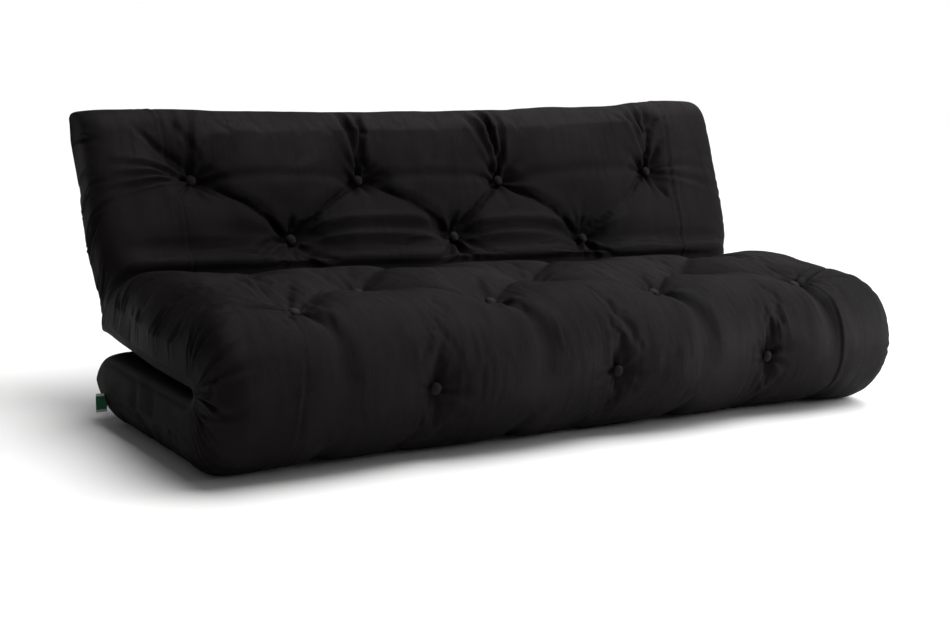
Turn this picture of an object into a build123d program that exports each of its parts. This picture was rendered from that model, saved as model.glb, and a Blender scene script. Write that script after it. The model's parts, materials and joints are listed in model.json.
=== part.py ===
from build123d import *
import math
import os

# Tufted futon mattress folded in three: a base layer under a seat layer, a tall front fold that joins
# them, and a back that bends up out of the seat. Millimetres, +X across the width, +Y towards the rear,
# +Z up. The origin is the middle of the base's flat underside.

os.makedirs("parts", exist_ok=True)

# Driving dimensions
mattress_width = 2000.0
layer_thickness = 165.0
layer_gap = 4.0
base_length = 462.0  # lower fold axis to the middle of the base's rear rounding
seat_length = 626.0  # upper fold axis to the back fold axis
back_length = 453.5  # back fold axis to the middle of the top edge's rounding
back_lean = 25.0  # from upright, degrees
upright_travel = 10.0  # how far the back also swings forward of its lean, degrees

# Cover, wadding and core
cover_wall = 2.0
side_width = 195.0  # from a topstitched seam to the end of the mattress
end_rounding = 55.0
core_thickness = 70.0
core_margin = 60.0
fit_gap = 0.5

# Tufts on the hidden faces are in straight rows, given by their distance from the section's axis
column_pitch = 500.0
seat_hidden_rows = (265.0, 452.5)
base_rows = (103.5, 278.0, 410.0)

# Tufts on the outer faces are tied by eye, so each has its own place: (from the section's axis, x)
seat_front_tufts = ((75.0, -762.0), (75.0, -262.0), (75.0, 237.0), (75.0, 748.0))
back_lower_tufts = ((118.0, -481.0), (117.0, 10.0), (104.0, 455.0))
back_upper_tufts = ((270.0, -722.0), (273.0, -258.0), (276.0, 194.0), (308.0, 757.0))
fold_tuft_columns = (-495.0, 15.0, 515.0)
fold_row_drop = 4.0  # below the middle of the front face

# Dimples, buttons, cords and washers
dimple_radius = 40.0
dimple_depth = 22.0
dimple_floor = 18.0
button_radius = 14.5
button_rim = 4.0
button_dome = 5.0
cord_radius = 1.5
washer_radius = 9.0
washer_thickness = 3.0
washer_recess = 4.0  # how deep the washers sink into a layer's inner face

# Front fold and running clearances
fold_end_margin = 22.0  # how far the fold stops short of the mattress's ends
hinge_clearance = 0.5

# Label
label_length = 42.0
label_width = 21.0
label_thickness = 1.0
label_height = 48.0  # of its middle, above the underside
label_setback = 54.0  # forward of the base's rearmost line

half_layer = layer_thickness / 2
half_width = mattress_width / 2
upper_axis_z = layer_thickness + layer_gap + half_layer
half_fold = (layer_thickness + layer_gap) / 2
front_axis_y = -base_length / 2
back_axis_y = front_axis_y + seat_length

# The two layers' rounded ends narrow the space behind the front fold to a wedge. The fold's washers sit as
# deep in it as they fit, and its filling ends in front of them.
socket_radius = half_layer + hinge_clearance
washer_reach = fold_row_drop + washer_radius + fit_gap
washer_back_height = math.sqrt(socket_radius**2 - (half_fold - washer_reach) ** 2)
fold_depth = half_layer - washer_back_height - washer_thickness - 2 * fit_gap

four_columns = tuple((i - 1.5) * column_pitch for i in range(4))
three_columns = tuple((i - 1) * column_pitch for i in range(3))


def section_plane(y, z, along, x_sign):
    """Plane whose x runs along a layer, whose y points out of its outer face, and whose z is +X or -X."""
    return Plane(origin=(0, y, z), x_dir=(0, along[0], along[1]), z_dir=(x_sign, 0, 0))


lean = math.radians(back_lean)
seat_plane = section_plane(front_axis_y, upper_axis_z, (1, 0), 1)
base_plane = section_plane(front_axis_y, half_layer, (1, 0), -1)
fold_plane = section_plane(front_axis_y, half_layer + half_fold, (0, -1), -1)
back_plane = section_plane(back_axis_y, upper_axis_z, (math.sin(lean), math.cos(lean)), 1)


def layer_outline(length, inset):
    """Side view of a layer that is rounded at both ends, drawn inset from its outer faces."""
    radius = half_layer - inset
    middle = Pos(length / 2, 0) * Rectangle(length, 2 * radius)
    return middle + Circle(radius) + Pos(length, 0) * Circle(radius)


def seat_sweep(length, inset):
    """Side view of what the seat fills as the back swings: its rounded rear end, and all below its top."""
    socket = socket_radius + inset
    seat_top_when_upright = Rot(0, 0, back_lean - upright_travel)
    below_seat_top = seat_top_when_upright * Pos(socket / 2, length / 2) * Rectangle(socket, length)
    return Circle(socket) + below_seat_top


def fold_outline(inset):
    """Side view of the front fold: a flat front face that narrows between the two rounded layer ends."""
    socket = socket_radius + inset
    depth = fold_depth - 2 * inset
    body = Pos(0, half_layer - inset - depth / 2) * Rectangle(2 * half_fold, depth)
    return body - Pos(-half_fold, 0) * Circle(socket) - Pos(half_fold, 0) * Circle(socket)


def across(plane, outline, width):
    """The outline extruded over the mattress's width, centred on its middle."""
    return extrude(plane * outline, amount=width / 2, both=True)


def straight_row(along, columns):
    """Places (along, x) of a row of tufts, all at the same distance from the section's axis."""
    return tuple((along, x) for x in columns)


def standing_on(plane, along, x, height):
    """Place on a section whose z points out of the outer face, at a height above its middle plane."""
    side = x if plane.z_dir.X > 0 else -x
    return plane * Pos(along, height, side) * Rot(-90, 0, 0)


def dimples(plane, tufts, growth):
    """Cones sunk into the outer face round each tuft, grown by the wall they have to clear."""
    top = half_layer + cover_wall
    cone_height = dimple_depth + cover_wall + growth
    slope = (dimple_radius - dimple_floor) / dimple_depth
    floor = dimple_floor + growth
    rim = floor + slope * cone_height
    cones = [
        standing_on(plane, along, x, top - cone_height / 2) * Cone(floor, rim, cone_height)
        for along, x in tufts
    ]
    return Compound(children=cones)


def washer_pockets(plane, tufts, growth):
    """Shallow round pockets for the tuft washers in a layer's inner face, grown by the wall round them."""
    depth = washer_recess + growth
    radius = washer_radius + fit_gap + growth
    pockets = [
        standing_on(plane, along, x, -half_layer + depth / 2) * Cylinder(radius, depth)
        for along, x in tufts
    ]
    return Compound(children=pockets)


def cord_holes(plane, tufts):
    """Clearance holes for the tufting cords, right through a section."""
    holes = [
        standing_on(plane, along, x, 0) * Cylinder(cord_radius + fit_gap, 2 * layer_thickness)
        for along, x in tufts
    ]
    return Compound(children=holes)


def band(low, high):
    """A slab across the section between two heights over its middle plane."""
    reach = 2 * (base_length + seat_length + back_length)
    return Pos(0, (low + high) / 2) * Rectangle(reach, high - low)


def save(shape, node):
    """Writes one node's STEP."""
    export_step(shape, f"parts/{node}.step")


def rounded_ends(shape, radius):
    """The section with its long edges at the two ends of the mattress rounded over."""
    edges = shape.faces().filter_by(Axis.X).edges()
    return fillet(edges, radius)


def layer_body(plane, length, inset, socketed):
    """A layer drawn inset from its outer faces; a socketed one is hollowed to swing round the seat's end."""
    body = across(plane, layer_outline(length, inset), mattress_width - 2 * inset)
    body = rounded_ends(body, end_rounding - inset)
    if socketed:
        body = body - across(plane, seat_sweep(length, inset), mattress_width)
    return body


def cover_widths(section, outer, inner, plane, tufts):
    """The cover: the shell between its outer and inner shapes, cut at the two long seams."""
    shell = outer - inner - cord_holes(plane, tufts)
    seam = half_width - side_width
    widths = {"left": (-half_width, -seam), "centre": (-seam, seam), "right": (seam, half_width)}
    for name, (low, high) in widths.items():
        slab = Pos((low + high) / 2, 0, 0) * Box(high - low, 4 * seat_length, 4 * seat_length)
        save(shell & slab, f"{section}_cover_{name}")


def filling(section, length, plane, tufts, socketed):
    """The core with a wadding layer on each of its faces, inside the cover."""
    room = cover_wall + fit_gap
    width = mattress_width - 2 * room
    body = layer_body(plane, length, room, socketed)
    body = body - dimples(plane, tufts, room) - washer_pockets(plane, tufts, room)
    body = body - cord_holes(plane, tufts)
    core_length = length - core_margin
    core_shape = Pos(length / 2, 0) * Rectangle(core_length, core_thickness)
    core = across(plane, core_shape, width - 2 * core_margin)
    pocket_outline = Rectangle(core_length + 2 * fit_gap, core_thickness + 2 * fit_gap)
    pocket_shape = Pos(length / 2, 0) * pocket_outline
    pocket = across(plane, pocket_shape, width - 2 * core_margin + 2 * fit_gap)
    wadding = body - pocket
    save((core & body) - cord_holes(plane, tufts), f"{section}_core")
    save(wadding & across(plane, band(fit_gap / 2, half_layer), width), f"{section}_wadding_outer")
    save(wadding & across(plane, band(-half_layer, -fit_gap / 2), width), f"{section}_wadding_inner")


def button():
    """A covered button: a short rim under a low dome, standing on z = 0."""
    dome_radius = (button_radius**2 + button_dome**2) / (2 * button_dome)
    ball = Pos(0, 0, button_rim + button_dome - dome_radius) * Sphere(dome_radius)
    blank = Pos(0, 0, (button_rim + button_dome) / 2) * Cylinder(button_radius, button_rim + button_dome)
    return blank & ball


def tufting(section, plane, named_rows, washer_bed):
    """Button rows on the outer face, and the section's cords and washers behind them."""
    seat_height = half_layer - dimple_depth
    for name, tufts in named_rows.items():
        buttons = [standing_on(plane, along, x, seat_height + fit_gap) * button() for along, x in tufts]
        save(Compound(children=buttons), f"{section}_buttons_{name}")
    places = [place for tufts in named_rows.values() for place in tufts]
    washer_middle = washer_bed - fit_gap - washer_thickness / 2
    washers = [
        standing_on(plane, along, x, washer_middle) * Cylinder(washer_radius, washer_thickness)
        for along, x in places
    ]
    save(Compound(children=washers), f"{section}_tuft_washers")
    low = washer_bed - fit_gap
    high = seat_height + fit_gap
    cords = [
        standing_on(plane, along, x, (low + high) / 2) * Cylinder(cord_radius, high - low)
        for along, x in places
    ]
    save(Compound(children=cords), f"{section}_tuft_cords")


def layer_section(section, length, plane, named_rows, socketed=False):
    """A flat layer with its cover, filling and tufting."""
    tufts = [place for row in named_rows.values() for place in row]
    outer = layer_body(plane, length, 0, socketed)
    outer = outer - dimples(plane, tufts, 0) - washer_pockets(plane, tufts, 0)
    inner = layer_body(plane, length, cover_wall, socketed)
    inner = inner - dimples(plane, tufts, cover_wall) - washer_pockets(plane, tufts, cover_wall)
    cover_widths(section, outer, inner, plane, tufts)
    filling(section, length, plane, tufts, socketed)
    tufting(section, plane, named_rows, washer_recess - half_layer)


def fold_body(inset):
    """The front fold drawn inset from its faces."""
    return across(fold_plane, fold_outline(inset), mattress_width - 2 * (fold_end_margin + inset))


def front_fold():
    """The front fold: cover and wadding between the two layers' rounded ends, with its own row of tufts."""
    tufts = straight_row(fold_row_drop, fold_tuft_columns)
    room = cover_wall + fit_gap
    outer = fold_body(0) - dimples(fold_plane, tufts, 0)
    inner = fold_body(cover_wall) - dimples(fold_plane, tufts, cover_wall)
    cover_widths("fold", outer, inner, fold_plane, tufts)
    save(fold_body(room) - dimples(fold_plane, tufts, room) - cord_holes(fold_plane, tufts), "fold_wadding")
    tufting("fold", fold_plane, {"front": tufts}, half_layer - fold_depth)


def care_label():
    """A blank woven label that stands out of the base's left end, towards the rear."""
    x = -half_width - fit_gap - label_width / 2
    y = front_axis_y + base_length + half_layer - label_setback
    save(Pos(x, y, label_height) * Box(label_width, label_thickness, label_length), "care_label")


base_tufts = {
    "front": straight_row(base_rows[0], four_columns),
    "middle": straight_row(base_rows[1], three_columns),
    "rear": straight_row(base_rows[2], four_columns),
}
seat_tufts = {
    "front": seat_front_tufts,
    "middle": straight_row(seat_hidden_rows[0], three_columns),
    "rear": straight_row(seat_hidden_rows[1], four_columns),
}
back_tufts = {"lower": back_lower_tufts, "upper": back_upper_tufts}

layer_section("base", base_length, base_plane, base_tufts)
layer_section("seat", seat_length, seat_plane, seat_tufts)
layer_section("back", back_length, back_plane, back_tufts, socketed=True)
front_fold()
care_label()
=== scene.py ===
"""Black cotton futon mattress, folded in three: cover with filling, buttons, felt washers and a blank label.

Everything is in metres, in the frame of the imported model: +X across the width, +Y towards the back, +Z up.
"""
import sys
import json
import logging
import math
from collections.abc import Callable, Iterator
from dataclasses import dataclass, field, replace
from enum import Enum

import bpy
import numpy as np
from mathutils import Matrix, Vector


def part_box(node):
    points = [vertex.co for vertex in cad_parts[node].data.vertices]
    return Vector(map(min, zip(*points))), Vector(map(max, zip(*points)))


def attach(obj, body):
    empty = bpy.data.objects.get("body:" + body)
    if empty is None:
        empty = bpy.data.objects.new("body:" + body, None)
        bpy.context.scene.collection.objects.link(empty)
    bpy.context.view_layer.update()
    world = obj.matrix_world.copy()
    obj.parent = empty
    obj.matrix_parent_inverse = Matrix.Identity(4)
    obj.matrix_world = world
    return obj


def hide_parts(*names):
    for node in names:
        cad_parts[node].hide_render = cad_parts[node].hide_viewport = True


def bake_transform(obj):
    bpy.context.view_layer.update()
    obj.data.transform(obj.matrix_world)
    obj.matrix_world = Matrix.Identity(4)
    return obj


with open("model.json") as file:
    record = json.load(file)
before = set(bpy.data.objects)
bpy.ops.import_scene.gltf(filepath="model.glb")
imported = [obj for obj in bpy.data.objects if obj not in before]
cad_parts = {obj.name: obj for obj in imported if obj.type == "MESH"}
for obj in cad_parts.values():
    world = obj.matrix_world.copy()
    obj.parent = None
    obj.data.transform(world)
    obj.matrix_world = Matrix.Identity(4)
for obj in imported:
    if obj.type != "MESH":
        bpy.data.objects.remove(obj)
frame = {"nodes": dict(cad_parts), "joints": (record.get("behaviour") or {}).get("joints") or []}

log = logging.getLogger("futon")
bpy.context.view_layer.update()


# ---------------------------------------------------------------------------------------------------------
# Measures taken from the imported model
# ---------------------------------------------------------------------------------------------------------


def joint_place(name: str) -> np.ndarray:
    """A joint's place in the side view.

    Args:
        name: the joint's name.

    Returns:
        Its (y, z), in metres.
    """
    joint = next(j for j in frame["joints"] if j["name"] == name)
    return np.array(joint["pos_m"][1:], float)


@dataclass(frozen=True)
class Skeleton:
    """The mattress's axes and main sizes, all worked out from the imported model."""

    upper: np.ndarray = field(default_factory=lambda: joint_place("fold_upper"))
    lower: np.ndarray = field(default_factory=lambda: joint_place("fold_lower"))
    hinge: np.ndarray = field(default_factory=lambda: joint_place("back_fold"))

    @property
    def half(self) -> float:
        """Half a layer's thickness."""
        return float(self.lower[1])

    @property
    def half_width(self) -> float:
        """Half the mattress's width."""
        return float(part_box("seat_cover_right")[1].x)

    @property
    def seam(self) -> float:
        """How far the two topstitched seams lie from the middle."""
        return float(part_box("seat_cover_right")[0].x)

    @property
    def base_end(self) -> np.ndarray:
        """The middle of the base's rear rounding."""
        return np.array([float(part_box("base_cover_centre")[1].y) - self.half, self.half])

    @property
    def front(self) -> float:
        """The y of the front face."""
        return float(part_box("fold_cover_centre")[0].y)

    @property
    def lean(self) -> float:
        """The back's lean from upright, in radians, from the line of its washers."""
        places = cluster_centres("back_tuft_washers")
        low, high = min(places, key=lambda p: p[2]), max(places, key=lambda p: p[2])
        return math.atan2(high[1] - low[1], high[2] - low[2])

    @property
    def back_length(self) -> float:
        """From the back's hinge to the middle of its top rounding."""
        return (float(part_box("back_cover_centre")[1].z) - self.half - self.hinge[1]) / math.cos(self.lean)


def cluster_centres(node: str, gap: float = 0.1) -> list[np.ndarray]:
    """The middle of each of a CAD node's separate solids, which stand apart across the width.

    Args:
        node: the CAD node's name.
        gap: the least distance in x between two solids, or in the side view between two at the same x.

    Returns:
        The middles, from left to right.
    """
    points = np.array([v.co for v in frame["nodes"][node].data.vertices], float)
    places: list[np.ndarray] = []
    members: list[list[np.ndarray]] = []
    for point in points[np.argsort(points[:, 0], kind="stable")]:
        for place, group in zip(places, members):
            if np.linalg.norm(place - point) < gap / 2:
                group.append(point)
                break
        else:
            places.append(point)
            members.append([point])
    return [(np.min(group, axis=0) + np.max(group, axis=0)) / 2 for group in members]


# ---------------------------------------------------------------------------------------------------------
# Small mathematical tools
# ---------------------------------------------------------------------------------------------------------


def smooth_step(value: np.ndarray, low: float, high: float) -> np.ndarray:
    """Rises smoothly from 0 at low to 1 at high."""
    t = np.clip((value - low) / (high - low), 0.0, 1.0)
    return t * t * (3 - 2 * t)


def smooth_curve(points: np.ndarray, t: np.ndarray) -> np.ndarray:
    """Points on a smooth curve.

    Args:
        points: what the curve passes through.
        t: places on it, from 0 to 1, by length.

    Returns:
        One point for each t.
    """
    chord = np.r_[0.0, np.cumsum(np.linalg.norm(np.diff(points, axis=0), axis=1))]
    slope = np.gradient(points, chord, axis=0)
    s = t * chord[-1]
    i = np.clip(np.searchsorted(chord, s, side="right") - 1, 0, len(points) - 2)
    width = (chord[i + 1] - chord[i])[:, None]
    w = (s - chord[i])[:, None] / width
    start = points[i] * (2 * w**3 - 3 * w**2 + 1) + slope[i] * width * (w**3 - 2 * w**2 + w)
    return start + points[i + 1] * (3 * w**2 - 2 * w**3) + slope[i + 1] * width * (w**3 - w**2)


def cubic_weights(place: np.ndarray, count: int) -> tuple[np.ndarray, np.ndarray]:
    """Indices and weights that read a row of numbers at places between them.

    Args:
        place: places, in units of the row's index.
        count: how many numbers the row has.

    Returns:
        Four indices and four weights for each place.
    """
    i = np.clip(np.floor(place).astype(int), 0, count - 2)
    t = place - i
    near = np.clip(i[:, None] + np.arange(-1, 3), 0, count - 1)
    weights = np.stack(
        [
            -0.5 * t + t**2 - 0.5 * t**3,
            1 - 2.5 * t**2 + 1.5 * t**3,
            0.5 * t + 2 * t**2 - 1.5 * t**3,
            -0.5 * t**2 + 0.5 * t**3,
        ],
        axis=1,
    )
    return near, weights


def resample(values: np.ndarray, place: np.ndarray, axis: int) -> np.ndarray:
    """Reads an array at places between its rows or columns."""
    near, weights = cubic_weights(place, values.shape[axis])
    moved = np.moveaxis(values, axis, 0)
    shape = (len(place),) + (1,) * (moved.ndim - 1)
    total = sum(moved[near[:, k]] * weights[:, k].reshape(shape) for k in range(4))
    return np.moveaxis(total, 0, axis)


def value_noise(a: np.ndarray, b: np.ndarray, seed: int) -> np.ndarray:
    """Smooth noise from -1 to 1.

    Args:
        a: first coordinate, one unit per lump.
        b: second coordinate, one unit per lump.
        seed: which noise.

    Returns:
        The noise at each point.
    """
    lattice = np.random.default_rng(seed).uniform(-1, 1, (256, 256))
    i, j = np.floor(a).astype(int), np.floor(b).astype(int)
    u, v = a - i, b - j
    u, v = u * u * u * (u * (6 * u - 15) + 10), v * v * v * (v * (6 * v - 15) + 10)
    corner = [lattice[(i + di) % 256, (j + dj) % 256] for di in (0, 1) for dj in (0, 1)]
    left = corner[0] * (1 - v) + corner[1] * v
    right = corner[2] * (1 - v) + corner[3] * v
    return left * (1 - u) + right * u


# ---------------------------------------------------------------------------------------------------------
# The folded slab
# ---------------------------------------------------------------------------------------------------------


class Stretch(Enum):
    """The stretches of the slab, in order from the base's rear edge to the back's top edge."""

    REAR_EDGE = 0
    BASE = 1
    FOLD = 2
    SEAT = 3
    TURN = 4
    BACK = 5
    TOP_EDGE = 6


FOLD_MIDDLE = Stretch.FOLD.value + 0.5


@dataclass
class FoldedSlab:
    """The smooth shape of the folded mattress, before tufts and wrinkles.

    A row goes once round the slab, over its outer face from the left end to the right and back over its
    inner face. Rows follow each other from the base's rear edge, round the front fold, over the seat and up
    the back.
    """

    bones: Skeleton
    fold_setback: float = 0.1535  # from the front face to where the fold's round begins
    fold_fullness: float = 2.05  # 2 is an ellipse, more is squarer
    crease_y: float = -0.172  # the closed end of the gap between the layers
    gap: float = 0.004
    end_rounding: float = 0.07
    end_fullness: float = 2.4
    inner_fullness: float = 0.2  # how much sooner the layers' inner faces reach their full thickness
    rear_fullness: float = 1.3  # the same for the back's rear face
    end_taper: float = 0.42  # how much thinner the back is at its ends
    face_fullness: float = 0.4  # how much sooner the back's front face reaches its full thickness
    left_draw: tuple[tuple[float, float], ...] = (
        (0.0, 0.0), (3.0, 0.0), (3.3, 0.004), (3.9, 0.034), (4.4, 0.042), (5.2, 0.026),
        (6.0, 0.030), (7.0, 0.030),
    )  # (row, how far the left end is drawn in there)
    corner: float = 0.012  # how far the middle line stops short of an edge, which rounds the corners
    bend: float = 0.03  # how far from the hinge the middle line starts to turn
    straight_from: float = 0.12  # from the hinge to where the back's front face runs straight
    crease_depth: float = 0.048  # from the hinge up the back's face, beside the crease's bottom
    floor_shift: tuple[float, float] = (-0.009, -0.014)  # from that place to the crease's bottom
    top_edge_rise: tuple[tuple[float, float], ...] = (
        (-1.0, -0.078), (-0.66, -0.066), (-0.22, -0.052), (0.04, -0.042), (0.3, -0.026),
        (0.7, 0.004), (0.9, 0.02), (1.06, 0.024),
    )  # (x, how much further the back reaches there)
    back_spread: float = 0.052  # how much further the back's top corner reaches at its right end

    @property
    def along(self) -> np.ndarray:
        """Direction up the back."""
        return np.array([math.sin(self.bones.lean), math.cos(self.bones.lean)])

    @property
    def outward(self) -> np.ndarray:
        """Direction out of the back's front face."""
        return np.array([-math.cos(self.bones.lean), math.sin(self.bones.lean)])

    def back_face(self, reach: np.ndarray | float) -> np.ndarray:
        """Points on the back's front face at distances from its hinge."""
        start = self.bones.hinge + self.outward * self.bones.half
        return start + np.multiply.outer(np.asarray(reach, float), self.along)

    def rear_edge(self, t: np.ndarray) -> tuple[np.ndarray, ...]:
        """Outer, middle and inner points of the base's rear rounding."""
        angle = t * math.pi / 2
        reach = np.stack([np.cos(angle), 0 * angle], 1)
        drop = np.stack([0 * angle, np.sin(angle)], 1)
        end, half = self.bones.base_end, self.bones.half
        return end + half * (reach - drop), end + (half - self.corner) * reach, end + half * (reach + drop)

    def base(self, t: np.ndarray) -> tuple[np.ndarray, ...]:
        """Outer, middle and inner points of the base layer."""
        start, half = self.bones.base_end, self.bones.half
        y = start[0] + (self.bones.front + self.fold_setback - start[0]) * t
        inner_y = start[0] + (self.crease_y - start[0]) * t
        return (
            np.stack([y, 0 * t], 1),
            np.stack([y, half + 0 * t], 1),
            np.stack([inner_y, 2 * half + 0 * t], 1),
        )

    def fold(self, t: np.ndarray) -> tuple[np.ndarray, ...]:
        """Outer, middle and inner points of the front fold."""
        angle = (t - 0.5) * math.pi
        middle_z = self.bones.half * 2 + self.gap / 2
        centre = np.array([self.bones.front + self.fold_setback, middle_z])
        power = 2 / self.fold_fullness
        bulge = np.abs(np.cos(angle)) ** power
        rise = np.sign(np.sin(angle)) * np.abs(np.sin(angle)) ** power
        outer = centre + np.stack([-self.fold_setback * bulge, middle_z * rise], 1)
        ring = self.bones.half + self.gap / 2
        middle = centre + ring * np.stack([-np.cos(angle), np.sin(angle)], 1)
        closed_end = np.stack([-0.012 * np.cos(angle), self.gap / 2 * np.sin(angle)], 1)
        return outer, middle, np.array([self.crease_y, middle_z]) + closed_end

    def crease_floor(self) -> np.ndarray:
        """The bottom of the crease between seat and back."""
        return self.back_face(self.crease_depth) + np.array(self.floor_shift)

    def seat(self, t: np.ndarray) -> tuple[np.ndarray, ...]:
        """Outer, middle and inner points of the seat layer."""
        start_y = self.bones.front + self.fold_setback
        hinge, half = self.bones.hinge, self.bones.half
        top = hinge[1] + half
        floor = self.crease_floor()
        knots = np.array(
            [
                [start_y, top],
                [start_y + 0.11, top + 0.003],
                [start_y + 0.24, top + 0.007],
                [start_y + 0.36, top + 0.004],
                [floor[0] - 0.052, top - 0.008],
                [floor[0] - 0.018, top - 0.024],
                floor,
            ]
        )
        middle_y = start_y + (hinge[0] - self.bend - start_y) * t
        inner_y = self.crease_y + (hinge[0] - self.crease_y) * t
        return (
            smooth_curve(knots, t),
            np.stack([middle_y, hinge[1] + 0 * t], 1),
            np.stack([inner_y, 2 * half + self.gap + 0 * t], 1),
        )

    def turn(self, t: np.ndarray) -> tuple[np.ndarray, ...]:
        """Outer, middle and inner points where the seat turns up into the back."""
        hinge, half = self.bones.hinge, self.bones.half
        floor = self.crease_floor()
        knots = np.array(
            [
                floor,
                floor + [0.0, 0.03],
                self.back_face(0.085) + self.outward * 0.004,
                self.back_face(self.straight_from),
            ]
        )
        before, after = hinge - [self.bend, 0], hinge + self.bend * self.along
        w = t[:, None]
        middle = before * (1 - w) ** 2 + 2 * hinge * w * (1 - w) + after * w**2
        angle = t * (math.pi / 2 - self.bones.lean)
        inner = hinge + half * np.stack([np.sin(angle), -np.cos(angle)], 1)
        return smooth_curve(knots, t), middle, inner

    def back(self, t: np.ndarray) -> tuple[np.ndarray, ...]:
        """Outer, middle and inner points of the back layer."""
        length, half = self.bones.back_length, self.bones.half
        middle = self.bones.hinge + np.multiply.outer(self.bend + (length - self.bend) * t, self.along)
        inner = self.bones.hinge - self.outward * half + np.multiply.outer(length * t, self.along)
        return self.back_face(self.straight_from + (length - self.straight_from) * t), middle, inner

    def top_edge(self, t: np.ndarray) -> tuple[np.ndarray, ...]:
        """Outer, middle and inner points of the back's top rounding."""
        angle = (1 - t) * math.pi / 2
        centre = self.bones.hinge + self.bones.back_length * self.along
        reach = np.multiply.outer(np.cos(angle), self.along)
        side = np.multiply.outer(np.sin(angle), self.outward)
        half = self.bones.half
        return (
            centre + half * (reach + side),
            centre + (half - self.corner) * reach,
            centre + half * (reach - side),
        )

    def section(self, rows: np.ndarray) -> tuple[np.ndarray, np.ndarray, np.ndarray]:
        """Side view of the slab.

        Args:
            rows: places along the slab; the whole part names the stretch, as Stretch does.

        Returns:
            Outer, middle and inner (y, z) points, one of each for each row.
        """
        makers = (self.rear_edge, self.base, self.fold, self.seat, self.turn, self.back, self.top_edge)
        found = [np.zeros((len(rows), 2)) for _ in range(3)]
        which = np.clip(rows.astype(int), 0, len(makers) - 1)
        for number, maker in enumerate(makers):
            chosen = which == number
            for whole, part in zip(found, maker(rows[chosen] - number)):
                whole[chosen] = part
        return found[0], found[1], found[2]

    def width(self, columns: np.ndarray) -> tuple[np.ndarray, np.ndarray]:
        """Front view of the slab.

        Args:
            columns: places across it: 0 to 1 is the left rounding, 1 to 2 the straight, 2 to 3 the right.

        Returns:
            Each column's x, and the share of the slab's thickness that is left there.
        """
        inner_x = self.bones.half_width - self.end_rounding
        angle = np.clip(np.where(columns < 1.5, columns, 3 - columns), 0, 1) * math.pi / 2
        power = 2 / self.end_fullness
        full = np.sin(angle) ** power
        x = inner_x + self.end_rounding * np.cos(angle) ** power
        straight = inner_x * (2 * np.clip(columns - 1, 0, 1) - 1)
        x = np.where(columns < 1, -x, np.where(columns > 2, x, straight))
        return x, full

    def shell(self, rows: np.ndarray, columns: np.ndarray) -> np.ndarray:
        """The slab's surface.

        Args:
            rows: places along the slab.
            columns: places across it.

        Returns:
            A point for each row and each place in its ring: the outer face from left to right, then the
            inner face from right to left without the two ends.
        """
        outer, middle, inner = self.section(rows)
        x, full = self.width(columns)
        up = smooth_step(rows, Stretch.SEAT.value + 0.7, Stretch.BACK.value + 0.3)[:, None]
        face = full[None] ** (1 + (self.face_fullness - 1) * up)
        over = middle[:, None] + (outer - middle)[:, None] * face[..., None]
        fullness = self.inner_fullness + (self.rear_fullness - self.inner_fullness) * up
        fuller = full[::-1][1:-1][None] ** fullness
        near_end = smooth_step(np.abs(x[::-1][1:-1]), 0.72, self.bones.half_width)[None]
        fuller = fuller * (1 - self.end_taper * near_end * up)
        under = middle[:, None] + (inner - middle)[:, None] * fuller[..., None]
        side = np.concatenate([over, under], 1)
        across = np.broadcast_to(np.r_[x, x[::-1][1:-1]], side.shape[:2])
        points = np.concatenate([across[..., None], side], 2)
        return self.settled(points, rows)

    def settled(self, points: np.ndarray, rows: np.ndarray) -> np.ndarray:
        """The surface with the back's uneven top edge and its spread right end."""
        up_the_back = smooth_step(rows, Stretch.BACK.value + 0.1, Stretch.TOP_EDGE.value - 0.05)[:, None]
        x = points[..., 0]
        places = np.array(self.top_edge_rise)
        rise = np.interp(x, places[:, 0], places[:, 1]) * up_the_back
        moved = points.copy()
        moved[..., 1:] += rise[..., None] * self.along
        lift = smooth_step(rows, Stretch.TURN.value, Stretch.BACK.value + 0.8)[:, None]
        moved[..., 0] += self.back_spread * lift * smooth_step(x, 0.78, self.bones.half_width)
        draw = np.interp(rows, *np.array(self.left_draw).T)[:, None]
        moved[..., 0] += draw * smooth_step(-x, 0.7, self.bones.half_width)
        return moved


@dataclass(frozen=True)
class Weft:
    """How closely a grid covers the slab, in metres between neighbours: seen, hidden, and across it."""

    seen: float
    hidden: float
    across: float

    def rows(self, slab: FoldedSlab) -> np.ndarray:
        """Places along the slab, closer where they show."""
        dense = np.linspace(0, 7 - 1e-9, 7001)
        outer, _, inner = slab.section(dense)
        step = np.linalg.norm(np.diff(outer, axis=0), axis=1)
        inner_step = np.linalg.norm(np.diff(inner, axis=0), axis=1)
        hidden = dense[1:] < Stretch.FOLD.value
        wanted = np.where(hidden, self.hidden, self.seen)
        need = np.maximum(step, 0.55 * inner_step) / wanted
        total = np.r_[0, np.cumsum(need)]
        count = int(round(total[-1])) + 1
        rows = np.interp(np.linspace(0, total[-1], count), total, dense)
        for whole in range(1, 7):
            rows[np.argmin(np.abs(rows - whole))] = whole
        rows[-1] = 7.0
        return rows

    def columns(self, slab: FoldedSlab) -> np.ndarray:
        """Places across the slab, evenly spaced over the cloth."""
        dense = np.linspace(0, 3, 6001)
        x, full = slab.width(dense)
        step = np.hypot(np.diff(x), np.diff(full) * slab.bones.half)
        total = np.r_[0, np.cumsum(step)]
        count = int(round(total[-1] / self.across)) | 1
        return np.interp(np.linspace(0, total[-1], count), total, dense)


# ---------------------------------------------------------------------------------------------------------
# The cover's relief: pillows, valleys, creases and wrinkles
# ---------------------------------------------------------------------------------------------------------


@dataclass
class Tuft:
    """One tuft, where a cord draws the cover in."""

    row_name: str
    outer: bool
    u: float
    v: float
    depth: float


RIDGE_PLACE = 1.9  # where the cloth beside a crease stands highest, in the crease's widths
RIDGE_WIDTH = 0.95
CREASE_REACH = 4.5  # how many widths away a crease is still felt


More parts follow.
